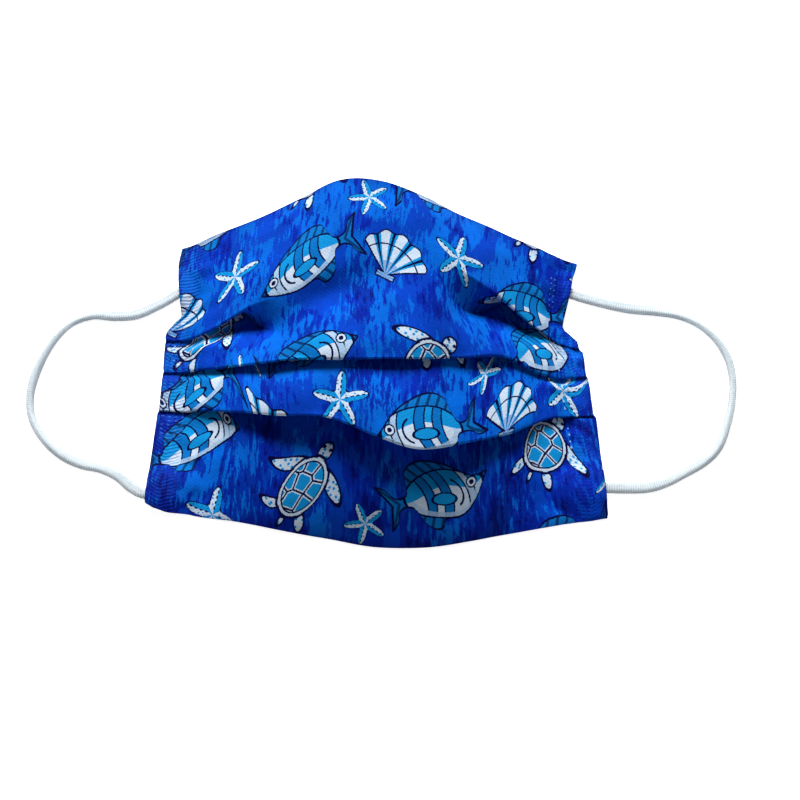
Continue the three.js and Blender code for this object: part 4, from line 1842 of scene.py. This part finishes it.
@dataclass
class ClothFinishes:
    """The materials of the cloth and of the marks pressed into it, which share a print and a texture.

    fray is how far the ink strays along the fibres and rib_pitch the spacing of the seams' fine ribs, in
    millimetres. shows_through is how much of the print the inner face lets through.
    """

    sea: SeaPrint = SeaPrint()
    texture: BondedNonwoven = BondedNonwoven()
    fray: float = 0.34
    rib_pitch: float = 1.15
    shows_through: float = 0.13
    print_group: bpy.types.NodeTree = field(init=False)
    nonwoven_group: bpy.types.NodeTree = field(init=False)

    def __post_init__(self) -> None:
        """Builds the shared groups once."""
        self.print_group = self.sea.group()
        self.nonwoven_group = self.texture.group()

    def inked(self, g: Graph) -> tuple[Socket, Socket, Socket]:
        """The print's colour where ink lies on fibres, with the texture's height and tone.

        Args:
            g: The material's graph.

        Returns:
            The sockets of the three.
        """
        place = g.flat_place()
        nonwoven = g.use(self.nonwoven_group, place)
        frayed = g.node("TexNoise", {"Vector": place, "Scale": 1.9}, noise_dimensions="2D")
        offset = g.vector("SUBTRACT", frayed.outputs["Color"], (0.5, 0.5, 0.5))
        moved = g.vector("ADD", place, g.vector("SCALE", offset, scale=self.fray))
        ink = g.use(self.print_group, moved)["Color"]
        return g.dimmed(ink, g.ramp(nonwoven["Tone"], 0.15, 0.85, 0.84, 1.1)), *nonwoven.values()

    def printed(self) -> bpy.types.Material:
        """The outer face: ink on spunbonded cloth, pressed flatter and shinier in the side seams.

        Returns:
            The material.
        """
        g, dress = new_material("printed_nonwoven")
        ink, height, tone = self.inked(g)
        place, seam = g.flat_place(), g.written("seam")
        ink = g.mix(g.times(g.written("edge"), 0.55), ink, self.sea.inks.navy)
        worn = g.ramp(g.noise(place, 0.9, 4, 0.65), 0.62, 0.8, 0.0, 0.09)
        ink = g.mix(worn, ink, self.sea.inks.pale)
        across = g.times(g.split(place)[1], 2 * math.pi / self.rib_pitch)
        rows = g.sine(g.add(across, g.times(g.noise(place, 0.5), 4.0)))
        lines = g.times(g.ramp(rows, -0.2, 0.8), g.times(seam, 0.5))
        fine = g.add(g.times(height, 0.6), g.times(g.times(rows, seam), 0.9))
        soft = g.bump(g.noise(place, 0.32, 3, 0.55), 0.0006, 0.35)
        return dress(
            base_color=g.mix(lines, ink, colour(112, 128, 176), "MULTIPLY"),
            roughness=g.less(g.ramp(tone, 0.2, 0.8, 0.9, 0.78), g.times(seam, 0.14)),
            normal=g.bump(fine, 0.00007, 0.8, soft),
            specular_ior_level=0.045,
        )

    def plain(self) -> bpy.types.Material:
        """The inner face: white spunbonded cloth, through which the print shows faintly.

        Returns:
            The material.
        """
        g, dress = new_material("plain_nonwoven")
        place = g.flat_place()
        nonwoven = g.use(self.nonwoven_group, place)
        tone = nonwoven["Tone"]
        white = g.mix(g.ramp(tone, 0.1, 0.9), colour(214, 222, 234), colour(246, 248, 250))
        return dress(
            base_color=g.mix(self.shows_through, white, g.use(self.print_group, place)["Color"]),
            roughness=g.ramp(tone, 0.2, 0.8, 0.8, 0.66),
            normal=g.bump(nonwoven["Height"], 0.00009, 0.9),
            specular_ior_level=0.3,
            sheen_weight=0.15,
            sheen_roughness=0.5,
        )

    def pressed(self) -> bpy.types.Material:
        """Weld marks: the printed cloth melted smooth, shiniest in the middle of each, with a pale highlight
        painted there.

        Returns:
            The material.
        """
        g, dress = new_material("pressed_nonwoven")
        ink, height, _ = self.inked(g)
        # Painted highlight: in each mark's middle the ink turns towards a pale glint colour; the lower
        # roughness there is its real shine.
        dish = g.written("dish")
        return dress(
            base_color=g.mix(g.times(g.ramp(dish, 0.05, 0.5), 0.8), ink, self.sea.inks.painted_glint),
            roughness=g.ramp(dish, 0.0, 0.8, 0.6, 0.35),
            normal=g.bump(height, 0.00003, 0.5),
            specular_ior_level=0.1,
        )


@dataclass(frozen=True)
class ElasticFinishes:
    """The materials of the ear loops: knitted white elastic, and the same elastic fused flat."""

    white: Colour = colour(199, 208, 213)
    # groove is the grey of the shade painted between the knitted ribs; the fused ends use it for their darker
    # yarns.
    groove: Colour = colour(136, 148, 158)
    glazed: Colour = colour(206, 214, 222)

    def knitted(self) -> bpy.types.Material:
        """Knitted elastic: painted shade greys it between its ribs, and fine yarns run along it.

        Returns:
            The material.
        """
        g, dress = new_material("knitted_elastic")
        place, rib = g.flat_place(), g.written("rib")
        yarns = g.noise(g.stretched(place, 1.0, 0.22), 5.5, 3, 0.6)
        cloud = g.noise(place, 0.24, 3, 0.6)
        # Painted shade: the rib mask greys the colour between the ribs, where shade falls; the yarns and the
        # cloud are the elastic's own uneven tone.
        tone = g.add(g.times(rib, 0.45), g.add(g.times(yarns, 0.45), g.times(cloud, 0.25)))
        return dress(
            base_color=g.mix(g.ramp(tone, 0.1, 0.62), self.groove, self.white),
            roughness=g.ramp(yarns, 0.3, 0.7, 0.78, 0.62),
            normal=g.bump(g.add(g.times(yarns, 0.7), g.times(rib, 0.5)), 0.00008, 0.8),
            specular_ior_level=0.2,
            subsurface_weight=0.95,
            subsurface_scale=0.0032,
            subsurface_radius=(1.0, 1.0, 1.0),
        )

    def fused(self) -> bpy.types.Material:
        """Fused elastic: flattened yarns, glazed in the dimples.

        Returns:
            The material.
        """
        g, dress = new_material("fused_elastic")
        dimple = g.written("dimple")
        yarns = g.noise(g.stretched(g.flat_place(), 0.25, 1.0), 5.0, 3, 0.6)
        tone = g.mix(g.ramp(yarns, 0.25, 0.75), self.groove, self.white)
        return dress(
            base_color=g.mix(g.times(dimple, 0.35), tone, self.glazed),
            roughness=g.ramp(dimple, 0.0, 1.0, 0.58, 0.3),
            normal=g.bump(yarns, 0.00006, 0.6),
            specular_ior_level=0.5,
        )


# ======== This mask's own sizes ========

PLEATS = (
    Pleat(UPPER_FOLD, depth=(11.5, 11.5), shut=6.4, wide=168.0, left=(0.83, 0.3), right=(0.87, 0.25)),
    Pleat(MIDDLE_FOLD, depth=(5.8, 6.5), shut=13.0, wide=38.0, left=(0.85, 0.3), right=(0.8, 0.3)),
    Pleat(LOWER_FOLD, depth=(9.4, 11.0), shut=8.0, wide=44.0, left=(0.85, 0.25), right=(0.85, 0.25)),
)
EXITS = {
    "upper_left": Exit(edge=(-67.0, 28.4), pad=(-58.6, 34.4), heading=36.0),
    "lower_left": Exit(edge=(-72.0, -41.6), pad=(-60.6, -38.4), heading=14.0),
    "upper_right": Exit(edge=(62.0, 32.1), pad=(52.4, 35.4), heading=162.0),
    "lower_right": Exit(edge=(70.9, -34.8), pad=(59.6, -35.0), heading=181.0),
}
LIES_AT = 0.00135


def laid(*points: tuple[float, ...]) -> tuple[tuple[float, float, float], ...]:
    """A cord's route in metres, on the table wherever a point gives no height."""
    return tuple((*p[:2], p[2] if len(p) > 2 else LIES_AT) for p in points)


LEFT_ROUTE = laid(
    (-0.06215, 0.03185, 0.0019), (-0.067, 0.0284), (-0.0728, 0.0242), (-0.0799, 0.0204), (-0.0863, 0.0196),
    (-0.0936, 0.0197), (-0.0991, 0.0174), (-0.1038, 0.0127), (-0.1075, 0.0062), (-0.1101, -0.0017),
    (-0.111, -0.0097), (-0.1096, -0.0171), (-0.1054, -0.0237), (-0.0991, -0.029), (-0.0922, -0.0323),
    (-0.0862, -0.0336), (-0.0806, -0.036), (-0.076, -0.0396), (-0.0718, -0.0414), (-0.06485, -0.03947),
)
RIGHT_ROUTE = laid(
    (0.05655, 0.03405, 0.0019), (0.0618, 0.0322), (0.0677, 0.0304), (0.0781, 0.0281), (0.0884, 0.027),
    (0.0961, 0.0255), (0.1024, 0.0223), (0.1074, 0.0176), (0.1107, 0.0116), (0.1121, 0.0039),
    (0.1115, -0.0044), (0.1094, -0.0128), (0.1062, -0.0202), (0.1017, -0.025), (0.0958, -0.029),
    (0.0902, -0.0322), (0.0845, -0.0342), (0.0783, -0.0347), (0.0708, -0.0348), (0.06395, -0.03493),
)
LEFT_TWIST = (0, -10, -14, -24, -74, -92, -100, -116, -154, -162, -172, -180)
RIGHT_TWIST = (0, 8, 14, 38, 70, 84, 96, 116, 152, 162, 172, 180)

WELD_ROWS = {
    "side_weld_left": (
        WeldRow("panel_0", (2.0, 4.2, 6.4, 8.6), 28.5, 33.2, 1.3, (1.5, 0.5), MarkShape.OVAL, -1, 0.16),
        WeldRow("panel_1", (1.2, 2.8, 4.6, 6.2, 7.8), 12.2, 22.2, 1.3, (1.2, 0.45), MarkShape.OVAL, -1, 0.16),
        WeldRow("panel_1", (3.6, 9.2), 12.6, 22.0, 2.6, (1.2, 0.8), MarkShape.WEDGE, -1, 0.6),
        WeldRow("panel_2", (1.2, 2.8, 4.6, 6.2, 7.8), 6.6, 18.6, 1.3, (1.3, 0.45), MarkShape.OVAL, -1, 0.14),
        WeldRow("panel_2", (9.4,), 7.2, 18.6, 2.6, (1.2, 0.8), MarkShape.WEDGE, -1, 0.4),
        WeldRow("chin_panel", (2.0, 4.2, 6.4, 8.6), 10.2, 18.4, 1.5, (1.4, 0.5), MarkShape.OVAL, -1, 0.3),
    ),
    "side_weld_right": (
        WeldRow("panel_1", (9.4,), 12.2, 22.2, 2.35, (1.6, 1.4), MarkShape.WEDGE, 1, 0.9),
        WeldRow("panel_1", (2.2, 3.6, 5.2, 6.8, 8.0), 12.0, 22.0, 1.5, (0.8, 0.5), MarkShape.OVAL, 1, 0.2),
        WeldRow("panel_2", (9.4,), 6.8, 18.8, 2.35, (1.6, 1.4), MarkShape.WEDGE, 1, 1.0),
        WeldRow("panel_2", (2.6, 5.0), 7.0, 18.6, 2.9, (0.9, 0.45), MarkShape.OVAL, 1, 0.2),
        WeldRow("chin_panel", (9.4,), 9.8, 24.5, 2.35, (1.6, 1.4), MarkShape.WEDGE, 1, 0.9),
        WeldRow("chin_panel", (2.6, 5.0), 11.0, 20.0, 2.9, (0.9, 0.45), MarkShape.OVAL, 1, 0.16),
    ),
    "loop_weld_marks": (
        WeldRow("panel_0", (7.6, 9.2), 8.5, 19.0, 1.9, (0.8, 0.8), MarkShape.OVAL, 1, 0.4),
        WeldRow("panel_0", (8.4, 10.0), 9.2, 18.4, 2.1, (0.6, 0.6), MarkShape.OVAL, 1, 0.2),
        WeldRow("panel_0", (8.6, 10.2), 8.5, 16.0, 1.9, (0.6, 0.6), MarkShape.OVAL, -1, 0.16),
        WeldRow("chin_panel", (8.6, 10.2, 11.8), 31.0, 37.0, 1.9, (0.6, 0.6), MarkShape.OVAL, -1, 0.1),
        WeldRow("chin_panel", (8.6, 10.2, 11.8), 26.5, 32.0, 1.9, (0.6, 0.6), MarkShape.OVAL, 1, 0.1),
    ),
}


# ======== The studio ========


@dataclass(frozen=True)
class SoftBox:
    """A square area light, in metres and watts, aimed at the mask."""

    name: str
    place: tuple[float, float, float]
    size: float
    power: float
    tint: tuple[float, float, float] = (1.0, 1.0, 1.0)


@dataclass(frozen=True)
class Studio:
    """The camera, the table that the mask lies on, and the light."""

    target: tuple[float, float, float] = (-0.0009, 0.0018, 0.010)
    distance: float = 0.6
    elevation: float = 65.0
    azimuth: float = -1.9
    lens: float = 85.7
    shift: tuple[float, float] = (0.0275, -0.0475)
    boxes: tuple[SoftBox, ...] = (
        SoftBox("key", (-0.2, 1.05, 0.9), 0.6, 37.0),
        SoftBox("fill", (0.15, -0.95, 0.75), 0.9, 2.0),
    )
    sky: float = 0.08
    glow: float = 0.82
    half_table: float = 4.0

    def camera(self) -> None:
        """Puts the camera at its distance from the target, looking down at its elevation."""
        turn, tilt = math.radians(self.azimuth), math.radians(self.elevation)
        level = math.cos(tilt)
        ahead = np.array([math.sin(turn) * level, math.cos(turn) * level, -math.sin(tilt)])
        data = bpy.data.cameras.new("camera")
        data.lens = self.lens
        data.sensor_width = 36.0
        data.shift_x, data.shift_y = self.shift
        data.clip_start = 0.02
        camera = bpy.data.objects.new("camera", data)
        bpy.context.scene.collection.objects.link(camera)
        camera.location = np.array(self.target) - self.distance * ahead
        camera.rotation_euler = (math.pi / 2 - tilt, 0.0, -turn)
        bpy.context.scene.camera = camera

    def table(self) -> None:
        """A wide pale table top at the floor's height."""
        half = self.half_table
        corners = [(-half, -half, 0), (half, -half, 0), (half, half, 0), (-half, half, 0)]
        mesh = bpy.data.meshes.new("table_top")
        mesh.from_pydata(corners, [], [(0, 1, 2, 3)])
        floor = bpy.data.objects.new("table_top", mesh)
        bpy.context.scene.collection.objects.link(floor)
        g, dress = new_material("pale_table")
        cloud = g.noise(g.node("TexCoord", {}).outputs["Object"], 3.0, 2)
        seen = g.node("LightPath", {}).outputs["Is Camera Ray"]
        material = dress(
            base_color=g.mix(cloud, colour(250, 250, 250), colour(253, 253, 253)),
            roughness=0.9,
            specular_ior_level=0.1,
            emission_color=WHITE,
            emission_strength=g.times(seen, self.glow),
        )
        mesh.materials.append(material)

    def lights(self) -> None:
        """The soft boxes and an even pale sky."""
        for box in self.boxes:
            data = bpy.data.lights.new(box.name, "AREA")
            data.size, data.energy, data.color = box.size, box.power, box.tint
            light = bpy.data.objects.new(box.name, data)
            light.location = box.place
            aim = np.array(self.target) - np.array(box.place)
            light.rotation_euler = (
                math.atan2(math.hypot(aim[0], aim[1]), -aim[2]),
                0.0,
                math.atan2(aim[1], aim[0]) - math.pi / 2,
            )
            bpy.context.scene.collection.objects.link(light)
        world = bpy.data.worlds.new("pale_sky")
        world.use_nodes = True
        sky = world.node_tree.nodes["Background"]
        sky.inputs["Color"].default_value = WHITE
        sky.inputs["Strength"].default_value = self.sky
        bpy.context.scene.world = world
        bpy.context.scene.view_settings.view_transform = "Standard"


def main() -> None:
    """Builds the camera, the ear loops, the cloth with its marks, and the studio, in that order."""
    logging.basicConfig(level=logging.INFO, format="%(message)s")
    studio = Studio()
    studio.camera()

    elastic = ElasticFinishes()
    knitted, fused = elastic.knitted(), elastic.fused()
    cloth = PleatedCloth(PLEATS, EXITS)
    ends = {corner: FusedEnd(corner, way, cloth).build(fused) for corner, way in EXITS.items()}
    for loop in (
        EarLoop("knitted_loop_left", "ear_loop_left", LEFT_ROUTE, 0.133, LEFT_TWIST),
        EarLoop("knitted_loop_right", "ear_loop_right", RIGHT_ROUTE, 0.141, RIGHT_TWIST),
    ):
        side = loop.name.split("_")[-1]
        loop.build(knitted, (ends[f"upper_{side}"], ends[f"lower_{side}"]))

    finishes = ClothFinishes()
    sheet = cloth.build(finishes.printed(), finishes.plain())
    pressed = finishes.pressed()
    marks = [
        WeldMarks(name, cloth, rows, seed).build(pressed)
        for seed, (name, rows) in enumerate(WELD_ROWS.items(), 1)
    ]

    studio.table()
    studio.lights()


if __name__ == "__main__":
    main()
